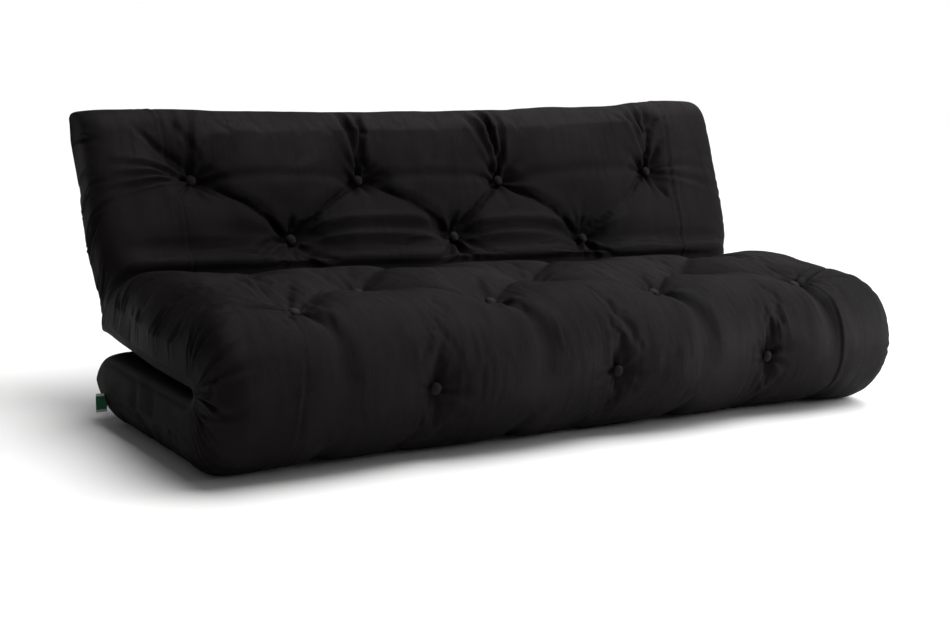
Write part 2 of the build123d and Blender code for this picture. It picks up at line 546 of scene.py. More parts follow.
@dataclass(frozen=True)
class Crease:
    """A fold in the cloth, from start to end on the unrolled cover, in metres."""

    start: tuple[float, float]
    end: tuple[float, float]
    depth: float
    width: float
    bow: float = 0.0
    swell: float = 0.5  # how much the cloth beside it rises
    fade_in: float = 0.12
    fade_out: float = 0.75
    widen: float = 0.8


@dataclass
class Unrolled:
    """The unrolled outer or inner face of the cover, as a height over a grid of u across and v along."""

    u: np.ndarray
    v: np.ndarray
    height: np.ndarray = field(init=False)

    def __post_init__(self) -> None:
        """Starts flat."""
        self.height = np.zeros((len(self.v), len(self.u)))

    def window(self, low: np.ndarray, high: np.ndarray) -> tuple[slice, slice]:
        """The rows and columns that lie between two corners (u, v)."""
        rows = slice(*np.searchsorted(self.v, [low[1], high[1]]))
        columns = slice(*np.searchsorted(self.u, [low[0], high[0]]))
        return rows, columns

    def press(self, crease: Crease) -> None:
        """Presses one crease into the height.

        Args:
            crease: the crease.
        """
        start, end = np.array(crease.start), np.array(crease.end)
        run = end - start
        length = float(np.linalg.norm(run))
        if length < 1e-6:
            return
        across = np.array([-run[1], run[0]]) / length
        reach = CREASE_REACH * crease.width * (1 + crease.widen) + abs(crease.bow)
        rows, columns = self.window(np.minimum(start, end) - reach, np.maximum(start, end) + reach)
        u, v = np.meshgrid(self.u[columns], self.v[rows])
        if u.size == 0:
            return
        t = ((u - start[0]) * run[0] + (v - start[1]) * run[1]) / length**2
        inside = np.clip(t, 0, 1)
        bow = crease.bow * 4 * inside * (1 - inside)
        side = (u - start[0]) * across[0] + (v - start[1]) * across[1] - bow
        past = (t - inside) * length
        width = crease.width * (0.6 + crease.widen * inside)
        z = np.hypot(side, past) / width
        taper = smooth_step(inside, -0.02, crease.fade_in)
        taper *= 1 - smooth_step(inside, 1 - crease.fade_out, 1.0)
        shape = -np.exp(-z**2) + crease.swell * np.exp(-(((z - RIDGE_PLACE) / RIDGE_WIDTH) ** 2))
        self.height[rows, columns] += crease.depth * taper * shape


SEAM_PLACES = (-0.2, 0.0, 0.35, 0.75, 1.2)  # along the cover, from the middle of the front fold
SEAM_DRIFT = {
    -1: (0.023, 0.015, -0.02, -0.04, -0.015),
    1: (-0.04, -0.04, -0.035, -0.005, 0.045),
}  # how much further out the left and the right seam lie there


@dataclass
class Relief:
    """All that lies on the smooth slab, for one grid."""

    slab: FoldedSlab
    rows: np.ndarray
    columns: np.ndarray
    seed: int = 7
    crown: float = 0.008  # how far a pillow stands out between its tufts
    seat_crown: float = 0.009  # how much more the seat's pillows stand out behind their first row
    pillow_reach: float = 0.078
    fold_reach: float = 0.125  # the front's tufts draw in a wide shallow hollow
    base_reach: float = 0.045
    washer_reach: float = 0.03
    washer_pull: float = 0.8  # how much of a washer's depth the inner face follows
    button_bed: float = 0.016  # radius of the cloth held flat under a button
    button_sink: float = 0.0045  # how much deeper than a button's middle its cord draws the cover

    def __post_init__(self) -> None:
        """Measures the grid's unrolled coordinates and finds the tufts on it."""
        dense = np.linspace(0, 7, 7001)
        outer, _, inner = self.slab.section(dense)
        self.v_outer = self.measure(dense, outer)
        self.v_inner = self.measure(dense, inner)
        x, full = self.slab.width(self.columns)
        half = self.slab.bones.half
        step = np.hypot(np.diff(x), np.diff(full) * half)
        u = np.r_[0, np.cumsum(step)]
        self.u = u - u[-1] / 2
        self.over = Unrolled(self.u, self.v_outer)
        self.under = Unrolled(self.u, self.v_inner)
        self.tufts = self.find_tufts()

    def measure(self, dense: np.ndarray, line: np.ndarray) -> np.ndarray:
        """Length along a face, from the middle of the front fold, at each row."""
        total = np.r_[0, np.cumsum(np.linalg.norm(np.diff(line, axis=0), axis=1))]
        return np.interp(self.rows, dense, total) - np.interp(FOLD_MIDDLE, dense, total)

    def find_tufts(self) -> list[Tuft]:
        """The tufts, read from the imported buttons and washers."""
        dense = np.linspace(0, 7, 4001)
        outer, _, inner = self.slab.section(dense)
        found = []
        for name in sorted(frame["nodes"]):
            if "_buttons_" not in name and not name.endswith("tuft_washers"):
                continue
            is_outer = "_buttons_" in name
            line = outer if is_outer else inner
            measured = self.v_outer if is_outer else self.v_inner
            if name.startswith("fold") and not is_outer:
                continue
            for centre in cluster_centres(name):
                if is_outer and name.startswith("back"):
                    rise = np.interp(centre[0], *np.array(self.slab.top_edge_rise).T)
                    line_here = line + np.multiply.outer(
                        rise * smooth_step(dense, Stretch.BACK.value + 0.1, Stretch.TOP_EDGE.value - 0.05),
                        self.slab.along,
                    )
                else:
                    line_here = line
                distance = np.linalg.norm(line_here - centre[1:], axis=1)
                nearest = int(np.argmin(distance))
                v = float(np.interp(dense[nearest], self.rows, measured))
                depth = float(distance[nearest]) + (self.button_sink if is_outer else 0.0)
                found.append(Tuft(name, is_outer, float(centre[0]), v, depth))
        return found

    def row(self, name: str) -> list[Tuft]:
        """The tufts of one CAD node, from left to right."""
        return [tuft for tuft in self.tufts if tuft.row_name == name]

    def join(self, first: Tuft, second: Tuft, depth: float, width: float, **shape: float) -> None:
        """Presses a crease from one tuft to another.

        Args:
            first: where it starts.
            second: where it ends.
            depth: its depth.
            width: its width.
            shape: its other values.
        """
        self.over.press(Crease((first.u, first.v), (second.u, second.v), depth, width, **shape))

    @staticmethod
    def staggered(longer: list[Tuft], shorter: list[Tuft]) -> Iterator[tuple[Tuft, Tuft]]:
        """Each tuft of a row with each of its neighbours in the staggered row beside it."""
        for i, first in enumerate(longer):
            for j, second in enumerate(shorter):
                if j in (i - 1, i):
                    yield first, second

    def pillows(self) -> None:
        """Lets each tuft draw the cover in, with pillows between the tufts."""
        for face, outer in ((self.over, True), (self.under, False)):
            u, v = np.meshgrid(face.u, face.v)
            free = np.ones_like(u)
            pull = np.zeros_like(u)
            for tuft in (t for t in self.tufts if t.outer is outer):
                r = np.hypot(u - tuft.u, v - tuft.v)
                reach = self.washer_reach
                if outer:
                    reach = {"fold": self.fold_reach, "base": self.base_reach}.get(
                        tuft.row_name.split("_")[0], self.pillow_reach)
                hold = np.exp(-((np.maximum(r - self.button_bed, 0) / reach) ** 1.25))
                pull += hold * (tuft.depth + (self.crown if outer else 0.0))
                free *= 1 - hold
            if outer:
                flat = smooth_step(self.rows, 1.85, 2.25)[:, None]
                ends = smooth_step(self.slab.bones.half_width - np.abs(face.u), -0.09, 0.09)[None]
                fade = smooth_step(7 - self.rows, 0.0, 0.7)[:, None]
                crease = 1 - np.exp(-(((self.rows - 4.0) / 0.22) ** 2))[:, None]
                plump = self.seat_crown * smooth_step(self.rows, 3.25, 3.45)
                plump *= 1 - smooth_step(self.rows, 3.7, 3.95)
                fullness = (self.crown + plump[:, None] * np.clip(free, 0, 1)) * ends * fade * crease
                face.height += fullness * flat - pull
            else:
                face.height -= pull * self.washer_pull

    def valleys(self) -> None:
        """Presses the broad valleys that join neighbouring tufts."""
        lower, upper = self.row("back_buttons_lower"), self.row("back_buttons_upper")
        for high, low in self.staggered(upper, lower):
            self.join(high, low, 0.0085, 0.034, swell=0.1, fade_in=0.02, fade_out=0.02, widen=0.0)
        for left, right in zip(upper, upper[1:]):
            self.join(left, right, 0.0035, 0.03, bow=0.012, swell=0.1, fade_out=0.05, widen=0.0)
        for valley in self.front_valleys():
            self.over.press(valley)
        front = self.row("seat_buttons_front")
        for tuft in front:
            behind = (tuft.u - 0.01, tuft.v + 0.19)
            self.over.press(Crease((tuft.u, tuft.v), behind, 0.006, 0.034, swell=0.1))
            knee, foot = (tuft.u + 0.025, -0.07), (tuft.u + 0.01, -0.26)
            self.over.press(Crease(knee, foot, 0.008, 0.035, swell=0.1, widen=0.2, fade_in=0.6, fade_out=0.1))
        for left, right in zip(lower, lower[1:]):
            self.join(left, right, 0.009, 0.016, bow=0.024, fade_in=0.02, fade_out=0.02, widen=0.3)
        for tuft, reach in ((lower[0], -0.30), (lower[-1], 0.32)):
            end = (tuft.u + reach, tuft.v + 0.02)
            self.over.press(Crease((tuft.u, tuft.v), end, 0.006, 0.02, swell=0.3, fade_in=0.02, fade_out=0.8))
        for tuft in self.row("fold_buttons_front"):
            for reach in (0.11, -0.10):
                end = (tuft.u + 0.01, tuft.v + reach)
                self.over.press(Crease((tuft.u, tuft.v), end, 0.003, 0.02, swell=0.15))
        middle, rear = self.row("seat_buttons_middle"), self.row("seat_buttons_rear")
        for longer in (front, rear):
            for near, far in self.staggered(longer, middle):
                self.join(near, far, 0.006, 0.034, swell=0.1, fade_in=0.02, fade_out=0.02, widen=0.0)

    def front_valleys(self) -> list[Crease]:
        """The curved valleys that run down the front from the seat's first tufts."""
        bends = (0.03, 0.045, 0.04, -0.025)
        return [
            Crease((tuft.u, tuft.v), (tuft.u + 0.02, -0.06), 0.012, 0.023, bow=bow, swell=0.2,
                   fade_in=0.01, fade_out=0.8, widen=1.1)
            for tuft, bow in zip(self.row("seat_buttons_front"), bends)
        ]

    def calm(self) -> np.ndarray:
        """How much of the simulation's moves is kept, for each row and place in its ring."""
        quiet = Unrolled(self.u, self.v_outer)
        for valley in self.front_valleys():
            quiet.press(replace(valley, depth=0.75, width=0.04, swell=0.0, fade_out=0.25))
        kept = 1 + np.clip(quiet.height, -0.75, 0)
        turned = smooth_step(self.rows, 3.45, 3.9) * (1 - smooth_step(self.rows, 4.75, 5.12))
        kept *= 1 - 0.93 * turned[:, None]
        kept *= 1 - 0.55 * smooth_step(self.rows, 5.75, 6.3)[:, None]
        half_width = self.slab.bones.half_width
        near_end = smooth_step(np.abs(self.u), half_width - 0.16, half_width - 0.03)
        kept *= 1 - 0.85 * near_end[None] * smooth_step(self.rows, 4.6, 5.2)[:, None]
        under = np.ones_like(kept) * (1 - 0.5 * smooth_step(self.rows, 6.0, 6.6)[:, None])
        return np.concatenate([kept, under[:, 1:-1]], 1)

    def lumps(self) -> None:
        """Adds the uneven feel of cotton filling."""
        for face, seed in ((self.over, 11), (self.under, 23)):
            straight_u, straight_v = np.meshgrid(face.u, face.v)
            u, v = 0.8 * straight_u + 0.6 * straight_v, 0.8 * straight_v - 0.6 * straight_u
            broad = value_noise(u / 0.19 + 40, v / 0.16 + 40, seed)
            small = value_noise(u / 0.07 + 60, v / 0.075 + 60, seed + 1)
            soft = 1.0 if face is self.over else 0.5
            flat = smooth_step(self.rows, 1.85, 2.2)[:, None] if face is self.over else 1.0
            face.height += soft * flat * (0.0028 * broad + 0.0009 * small)

    def fan(self, tuft: Tuft, count: int, length: float, depth: float, rng: np.random.Generator) -> None:
        """Radiating creases round one tuft.

        Args:
            tuft: the tuft.
            count: how many creases.
            length: their mean length.
            depth: their mean depth.
            rng: where the unevenness comes from.
        """
        face = self.over if tuft.outer else self.under
        turn = rng.uniform(0, 2 * math.pi)
        for k in range(count):
            angle = turn + 2 * math.pi * (k + rng.uniform(-0.3, 0.3)) / count
            reach = length * rng.uniform(0.55, 1.3)
            step = np.array([math.cos(angle), math.sin(angle)])
            start = np.array([tuft.u, tuft.v]) + step * 0.011
            end = start + step * reach
            face.press(Crease(tuple(start), tuple(end), depth * rng.uniform(0.6, 1.25),
                              rng.uniform(0.0055, 0.0105), bow=rng.uniform(-0.1, 0.1) * reach, swell=0.55,
                              fade_in=0.06, fade_out=0.9, widen=1.3))

    def fans(self) -> None:
        """Radiating creases round every tuft."""
        rng = np.random.default_rng(self.seed)
        for tuft in self.tufts:
            if not tuft.outer:
                self.fan(tuft, 7, 0.04, 0.0011, rng)
            elif tuft.row_name.startswith("back"):
                self.fan(tuft, 11, 0.125, 0.0042, rng)
            elif tuft.row_name.startswith("base"):
                self.fan(tuft, 9, 0.07, 0.002, rng)
            else:
                self.fan(tuft, 10, 0.085, 0.0034, rng)

    def deep_folds(self) -> None:
        """The long folds from the upper tufts to the top edge, and from the lower ones to the crease."""
        rng = np.random.default_rng(self.seed + 1)
        top = float(self.v_outer[-1])
        upper = self.row("back_buttons_upper")
        spread = (
            ((86, 0.006), (99, 0.003)),
            ((96, 0.013), (86, 0.008), (107, 0.0045)),
            ((101, 0.012), (89, 0.008), (112, 0.0045)),
            ((94, 0.0065), (80, 0.0045), (108, 0.004)),
        )
        for tuft, folds in zip(upper, spread):
            for degrees, depth in folds:
                angle = math.radians(degrees + rng.uniform(-3, 3))
                reach = (top - 0.035 - tuft.v) / math.sin(angle)
                end = (tuft.u + reach * math.cos(angle), tuft.v + reach * math.sin(angle))
                self.over.press(Crease((tuft.u, tuft.v), end, depth, 0.0095, bow=rng.uniform(-0.012, 0.012),
                                       swell=0.6, fade_in=0.05, fade_out=0.35, widen=1.0))
        floor = float(np.interp(Stretch.TURN.value, self.rows, self.v_outer))
        for tuft in self.row("back_buttons_lower"):
            for degrees in (-150, -128, -104, -82, -58, -32):
                angle = math.radians(degrees + rng.uniform(-7, 7))
                reach = min((tuft.v - floor - 0.02) / -math.sin(angle), 0.2)
                end = (tuft.u + reach * math.cos(angle), tuft.v + reach * math.sin(angle))
                self.over.press(Crease((tuft.u, tuft.v), end, rng.uniform(0.0045, 0.0075), 0.009,
                                       bow=rng.uniform(-0.02, 0.02), fade_in=0.05, fade_out=0.5))
        for k in range(16):
            u = -0.9 + 1.85 * k / 15 + rng.uniform(-0.04, 0.04)
            v = floor + rng.uniform(0.035, 0.075)
            reach = rng.uniform(0.08, 0.17)
            end = (u + reach, v + rng.uniform(-0.012, 0.012))
            self.over.press(Crease((u, v), end, rng.uniform(0.0015, 0.0032), 0.0075,
                                   bow=rng.uniform(-0.014, 0.014), fade_in=0.35, fade_out=0.35, widen=0.0))

    def fine_wrinkles(self) -> None:
        """Dense small wrinkles that run along the slab, strongest beside valleys and on the fold."""
        u, v = np.meshgrid(self.over.u, self.over.v)
        drift = 0.012 * value_noise(u / 0.12 + 9, v / 0.1 + 9, 31)
        long_ones = value_noise((u + drift) / 0.011 + 90, v / 0.085 + 30, 32)
        ridged = 1 - np.abs(long_ones) * 2.2
        patch = 0.5 + 0.5 * value_noise(u / 0.13 + 70, v / 0.11 + 70, 33)
        on_front = smooth_step(self.rows, 2.05, 2.3) * (1 - smooth_step(self.rows, 3.5, 3.95))
        near = np.zeros_like(u)
        for name in ("seat_buttons_front", "fold_buttons_front"):
            for tuft in self.row(name):
                near += np.exp(-(((u - tuft.u) / 0.085) ** 2)) * np.exp(-(((v - tuft.v) / 0.2) ** 2))
        strength = on_front[:, None] * (0.25 + np.clip(near, 0, 1.2)) * patch
        self.over.height += 0.0021 * strength * np.clip(ridged, -1, 1)
        turned_u, turned_v = 0.87 * u + 0.5 * v, 0.87 * v - 0.5 * u
        cross = value_noise(turned_u / 0.05 + 17, turned_v / 0.03 + 17, 34)
        cross *= value_noise(u / 0.16 + 5, v / 0.2 + 5, 35)
        flat = smooth_step(self.rows, 1.85, 2.2)[:, None]
        self.over.height += 0.0012 * cross * flat
        inner_u, inner_v = np.meshgrid(self.under.u, self.under.v)
        slack = value_noise(inner_u / 0.045 + 3, inner_v / 0.03 + 3, 36)
        self.under.height += 0.0012 * slack * value_noise(inner_u / 0.2, inner_v / 0.2, 37)

    def end_puckers(self) -> None:
        """Creases where the cloth is gathered round the two ends and the corners of the fold."""
        rng = np.random.default_rng(self.seed + 3)
        edge = float(self.u[-1])
        for side, strength in ((-1, 1.2), (1, 0.6)):
            for _ in range(44):
                v = rng.uniform(-0.32, float(self.v_outer[-1]) - 0.08)
                near_fold = math.exp(-((v / 0.22) ** 2))
                reach = rng.uniform(0.05, 0.13) * (1 + 0.5 * near_fold)
                start_v = v + rng.uniform(-0.03, 0.03)
                start_v -= 0.10 * near_fold * np.sign(v) * rng.uniform(0.1, 0.8)
                start, end = (side * (edge - 0.002), start_v), (side * (edge - reach), v)
                depth = strength * rng.uniform(0.0015, 0.0042)
                self.over.press(Crease(start, end, depth, rng.uniform(0.005, 0.009),
                                       bow=rng.uniform(-0.015, 0.015), fade_in=0.02))
            for name in ("seat_buttons_front", "back_buttons_upper"):
                tuft = self.row(name)[0 if side < 0 else -1]
                for k in (-1, 0, 1):
                    end = (side * (edge - 0.03), tuft.v + 0.07 * k + rng.uniform(-0.02, 0.02))
                    depth = 0.0034 * strength + 0.001
                    self.over.press(Crease((tuft.u, tuft.v), end, depth, 0.009,
                                           fade_in=0.05, bow=rng.uniform(-0.01, 0.01)))

    def seam_line(self, v: np.ndarray, side: int) -> np.ndarray:
        """The u of a topstitched seam at places along the cover; it wanders a little."""
        wander = 0.002 * np.sin(v * 9.0 + side) + 0.0012 * np.sin(v * 23.0 + 2 * side)
        drift = np.interp(v, SEAM_PLACES, SEAM_DRIFT[side])
        return side * (self.slab.bones.seam + drift) + wander

    def seams(self) -> None:
        """The two topstitched seams: a narrow groove with small puckers along it."""
        for face in (self.over, self.under):
            u, v = np.meshgrid(face.u, face.v)
            for side in (-1, 1):
                off = u - self.seam_line(v, side)
                groove = np.exp(-((off / 0.0034) ** 2))
                roll = np.exp(-(((off - 0.008 * side) / 0.006) ** 2))
                pucker = value_noise(v / 0.016 + 50, 0 * v + 3.5 + side, 41)
                pucker *= np.exp(-((off / 0.018) ** 2))
                face.height += -0.0023 * groove + 0.0013 * roll + 0.0010 * pucker

    def broad(self) -> "Relief":
        """The relief that the cloth simulation starts from."""
        self.pillows()
        self.valleys()
        self.lumps()
        return self

    def detail(self) -> "Relief":
        """The relief that is too fine for the simulation."""
        self.fans()
        self.deep_folds()
        self.fine_wrinkles()
        self.end_puckers()
        self.seams()
        return self

    def ring(self) -> np.ndarray:
        """The height for each row and each place in its ring."""
        over, under = self.over.height, self.under.height[:, ::-1][:, 1:-1]
        edge = smooth_step(7 - self.rows, 0.0, 0.25)[:, None]
        start = smooth_step(self.rows, 0.0, 0.6)[:, None]
        return np.concatenate([over * (0.35 + 0.65 * edge) * start, under * edge * start], 1)


# ---------------------------------------------------------------------------------------------------------
# The cover's mesh
# ---------------------------------------------------------------------------------------------------------


def ring_normals(points: np.ndarray) -> np.ndarray:
    """Outward normals of a grid whose rows are closed rings."""
    along = np.gradient(points, axis=0)
    across = np.roll(points, -1, 1) - np.roll(points, 1, 1)
    normal = np.cross(across, along)
    normal /= np.maximum(np.linalg.norm(normal, axis=2, keepdims=True), 1e-12)
    count = points.shape[1]
    mirror = (-np.arange(count)) % count
    for tip in (0, -1):
        shared = normal[tip] + normal[tip][mirror]
        size = np.linalg.norm(shared, axis=1, keepdims=True)
        normal[tip] = np.where(size > 0.2, shared / np.maximum(size, 1e-9), normal[tip])
    return normal


@dataclass
class RingGrid:
    """Turns rings of points into a closed mesh.

    A first or last row that is a tip is folded flat, so its inner half shares the outer half's points.
    """

    points: np.ndarray

    def vertices(self, first: int, last: int) -> tuple[np.ndarray, np.ndarray]:
        """The points of some rows, and each ring place's vertex number.

        Args:
            first: the first row.
            last: the last row.

        Returns:
            Chosen (row, place) pairs, and a grid of vertex numbers.
        """
        total, count = self.points.shape[:2]
        half = count // 2
        numbers = np.zeros((last - first + 1, count), int)
        chosen: list[np.ndarray] = []
        used = 0
        for index, row in enumerate(range(first, last + 1)):
            if row in (0, total - 1):
                places = np.arange(half + 1)
                numbers[index, : half + 1] = used + places
                numbers[index, half + 1 :] = used + np.arange(half - 1, 0, -1)
            else:
                places = np.arange(count)
                numbers[index] = used + places
            chosen.append(np.stack([np.full(len(places), row), places], 1))
            used += len(places)
        return np.concatenate(chosen), numbers

    @staticmethod
    def quads(numbers: np.ndarray) -> np.ndarray:
        """The faces between neighbouring rings, pointing outwards."""
        here, there = numbers[:-1], numbers[1:]
        return np.stack([here, np.roll(here, -1, 1), np.roll(there, -1, 1), there], 2).reshape(-1, 4)

    @staticmethod
    def lid(ring: np.ndarray, last: bool) -> np.ndarray:
        """Quads that close one ring from its outer half to its inner half."""
        count = len(ring)
        half = count // 2
        out = np.arange(half)
        back = (count - out) % count
        faces = np.stack([ring[out], ring[out + 1], ring[(back - 1) % count], ring[back]], 1)
        return faces[:, ::-1] if not last else faces


def new_mesh(name: str, vertices: np.ndarray, faces: list[list[int]]) -> bpy.types.Object:
    """A linked object with a mesh of those vertices and faces."""
    mesh = bpy.data.meshes.new(name)
    mesh.from_pydata(vertices.tolist(), [], faces)
    mesh.update()
    piece = bpy.data.objects.new(name, mesh)
    bpy.context.scene.collection.objects.link(piece)
    return piece


CLOTH_SETTINGS = {
    "quality": 5,
    "mass": 0.25,
    "tension_stiffness": 18,
    "compression_stiffness": 9,
    "shear_stiffness": 6,
    "bending_stiffness": 0.25,
    "tension_damping": 8,
    "compression_damping": 8,
    "air_damping": 3,
    "vertex_group_mass": "held",
    "pin_stiffness": 2.0,
    "use_pressure": True,
    "vertex_group_shrink": "taut",
    "shrink_max": 0.0,
}


@dataclass
class ClothRelaxer:
    """Lets the cover settle as cloth over its filling, by a cloth simulation on a coarse grid."""

    frames: int = 22
    pressure: float = 4.0
    slack: float = -0.036  # negative lets the cloth grow, so that it wrinkles
    cap: float = 0.012

    def settle(self, grid: np.ndarray, held: np.ndarray, taut: np.ndarray) -> np.ndarray:
        """How the simulation moves each point.

        Args:
            grid: rings of points.
            held: how firmly each is held, from 0 to 1.
            taut: where the cloth has no slack, from 0 to 1.

        Returns:
            The moves, no longer than the cap.
        """
        rings = RingGrid(grid)
        chosen, numbers = rings.vertices(0, len(grid) - 1)
        faces = [f for f in rings.quads(numbers).tolist() if len(set(f)) == 4]
        start = grid[chosen[:, 0], chosen[:, 1]]
        piece = new_mesh("settling_cover", start, faces)
        for name, amount in (("held", held), ("taut", taut)):
            group = piece.vertex_groups.new(name=name)
            levels = np.round(amount[chosen[:, 0], chosen[:, 1]], 1)
            for level in np.unique(levels[levels > 0]):
                group.add(np.nonzero(levels == level)[0].tolist(), float(level), "REPLACE")
        modifier = piece.modifiers.new("settle", "CLOTH")
        cloth = modifier.settings
        for name, value in CLOTH_SETTINGS.items():
            setattr(cloth, name, value)
        cloth.uniform_pressure_force = self.pressure
        cloth.shrink_min = self.slack
        cloth.effector_weights.gravity = 0
        modifier.collision_settings.use_collision = False
        scene = bpy.context.scene
        modifier.point_cache.frame_end = self.frames
        for number in range(1, self.frames + 1):
            scene.frame_set(number)
        settled = piece.evaluated_get(bpy.context.evaluated_depsgraph_get())
        end = np.zeros(len(start) * 3)
        settled.data.vertices.foreach_get("co", end)
        move = end.reshape(-1, 3) - start
        scene.frame_set(1)
        bpy.data.objects.remove(piece)
        size = np.linalg.norm(move, axis=1, keepdims=True)
        log.info("cloth moved %.1f mm on average, %.1f mm at most", 1000 * size.mean(), 1000 * size.max())
        move *= np.minimum(1.0, self.cap / np.maximum(size, 1e-9))
        moves = np.zeros_like(grid)
        moves[chosen[:, 0], chosen[:, 1]] = move
        count = grid.shape[1]
        for tip in (0, -1):
            moves[tip, count // 2 + 1 :] = moves[tip, 1 : count // 2][::-1]
        return moves


@dataclass
class Cover:
    """The cover and wadding, made as one shape and cut into three pieces."""

    slab: FoldedSlab
    finish: "CoverCloth"
    fine: Weft = field(default_factory=lambda: Weft(0.0045, 0.0105, 0.0052))
    coarse: Weft = field(default_factory=lambda: Weft(0.0115, 0.022, 0.0125))
    relaxer: ClothRelaxer = field(default_factory=ClothRelaxer)
    fill: float = 0.55
    held_round: float = 0.017  # how far round a tuft the cloth can't settle
    floor_gap: float = 0.0006  # how far above the floor the flattened underside lies
    seat_cut: float = 3.55  # the row where the front piece ends and the back piece starts
    fold_fan: float = math.radians(50)  # the slope of the front fold's bending zones
    fold_before: float = 0.046  # from an axis of the front fold to its bending zone's outer end
    fold_after: float = 0.052
    back_reach: float = 0.065  # from the back's axis to either end of its bending zone
    back_across: tuple[float, float] = (0.829, 0.559)

    def hold(self, relief: Relief, grid: np.ndarray) -> np.ndarray:
        """How firmly each coarse point is held: at the tufts, underneath and between the layers."""
        columns = len(relief.u)
        held = np.zeros(grid.shape[:2])
        for tuft in relief.tufts:
            face = relief.over if tuft.outer else relief.under
            u, v = np.meshgrid(face.u, face.v)
            near = (np.hypot(u - tuft.u, v - tuft.v) < self.held_round).astype(float)
            if tuft.outer:
                held[:, :columns] = np.maximum(held[:, :columns], near)
            else:
                held[:, columns:] = np.maximum(held[:, columns:], near[:, ::-1][:, 1:-1])
        rows = relief.rows
        low = (rows < 1.92) & (rows > 0.25)
        on_floor = (grid[low, :columns, 2] < 0.006).astype(float)
        held[low, :columns] = np.maximum(held[low, :columns], on_floor)
        between = (rows > 0.85) & (rows < 4.0)
        held[between, columns:] = 1.0
        held[np.abs(rows - Stretch.TURN.value) < 0.06, :columns] = 1.0
        return held

    def shape(self) -> tuple[np.ndarray, Relief]:
        """The finished surface.

        Returns:
            The fine grid of points, and its relief.
        """
        rows, columns = self.fine.rows(self.slab), self.fine.columns(self.slab)
        relief = Relief(self.slab, rows, columns).broad()
        smooth = self.slab.shell(rows, columns)
        points = smooth + ring_normals(smooth) * relief.ring()[..., None]
        points = points + self.settling(rows, columns) * relief.calm()[..., None]
        finer = Relief(self.slab, rows, columns).detail()
        points = points + ring_normals(points) * finer.ring()[..., None]
        points[..., 2] = self.resting(points[..., 2])
        log.info("cover grid: %d rows of %d", *points.shape[:2])
        return points, relief

    def resting(self, height: np.ndarray) -> np.ndarray:
        """Heights with the underside pressed flat where it rests on the floor."""
        soft = 0.004
        sunk = np.exp(np.clip(height - 2 * soft, -0.1, 0) / soft)
        return np.where(height < 2 * soft, self.floor_gap + soft * sunk * 1.85, height)

    def settling(self, rows: np.ndarray, columns: np.ndarray) -> np.ndarray:
        """The cloth simulation's moves, read at the fine grid's points."""
        coarse_rows, coarse_columns = self.coarse.rows(self.slab), self.coarse.columns(self.slab)
        relief = Relief(self.slab, coarse_rows, coarse_columns).broad()
        smooth = self.slab.shell(coarse_rows, coarse_columns)
        start = smooth + ring_normals(smooth) * relief.ring()[..., None]
        taut = 0.75 * (1 - smooth_step(coarse_rows, Stretch.TURN.value - 0.3, Stretch.BACK.value))
        ring_taut = np.broadcast_to(taut[:, None], start.shape[:2])
        moves = self.relaxer.settle(start, self.hold(relief, start), ring_taut)
        count = len(coarse_columns)
        over = moves[:, :count]
        under = np.concatenate([moves[:, :1], moves[:, count:][:, ::-1], moves[:, count - 1 : count]], 1)
        row_place = np.interp(rows, coarse_rows, np.arange(len(coarse_rows)))
        column_place = np.interp(columns, coarse_columns, np.arange(count))
        fine = [resample(resample(face, row_place, 0), column_place, 1) for face in (over, under)]
        return np.concatenate([fine[0], fine[1][:, ::-1][:, 1:-1]], 1)

    def piece(
        self, name: str, points: np.ndarray, relief: Relief, first: int, last: int
    ) -> bpy.types.Object:
        """One of the cover's three pieces, closed where it is cut.

        Args:
            name: its name.
            points: the whole cover's points.
            relief: the cover's relief, for the unrolled coordinates.
            first: its first row.
            last: its last row.

        Returns:
            The new object.
        """
        rings = RingGrid(points)
        normals = ring_normals(points)
        chosen, numbers = rings.vertices(first, last)
        body = rings.quads(numbers)
        lids = []
        if first > 0:
            lids.append(rings.lid(numbers[0], last=False))
        if last < len(points) - 1:
            lids.append(rings.lid(numbers[-1], last=True))
        faces = np.concatenate([body, *lids])
        lists = [list(dict.fromkeys(face)) for face in faces.tolist()]
        lists = [face for face in lists if len(face) > 2]
        piece = new_mesh(name, points[chosen[:, 0], chosen[:, 1]], lists)
        mesh = piece.data
        self.unroll(mesh, relief, chosen, points.shape[1])
        is_lid = np.zeros(len(mesh.polygons), bool)
        lid_count = sum(len([f for f in lid.tolist() if len(set(f)) > 2]) for lid in lids)
        if lid_count:
            is_lid[-lid_count:] = True
        mesh.polygons.foreach_set("use_smooth", np.ones(len(mesh.polygons), bool))
        self.shade(mesh, normals[chosen[:, 0], chosen[:, 1]], is_lid)
        mesh.materials.append(self.finish.material())
        return piece

    def unroll(self, mesh: bpy.types.Mesh, relief: Relief, chosen: np.ndarray, count: int) -> None:
        """Gives a mesh its unrolled coordinates, and the distance to the nearest seam.

        Args:
            mesh: the mesh.
            relief: the relief that holds the coordinates.
            chosen: each vertex's (row, place).
            count: places in a ring.
        """
        half = count // 2
        row, place = chosen[:, 0], chosen[:, 1]
        under = place > half
        column = np.where(under, count - place, place)
        u = relief.u[column]
        v = np.where(under, relief.v_inner[row] + 5.0, relief.v_outer[row])
        flat_v = np.where(under, relief.v_inner[row], relief.v_outer[row])
        seam = np.minimum(*[np.abs(u - relief.seam_line(flat_v, side)) for side in (-1, 1)])
        loops = np.zeros(len(mesh.loops), int)
        mesh.loops.foreach_get("vertex_index", loops)
        for name, first, second in (("cloth", u, v), ("seams", seam, flat_v)):
            layer = mesh.uv_layers.new(name=name)
            layer.data.foreach_set("uv", np.stack([first[loops], second[loops]], 1).ravel())

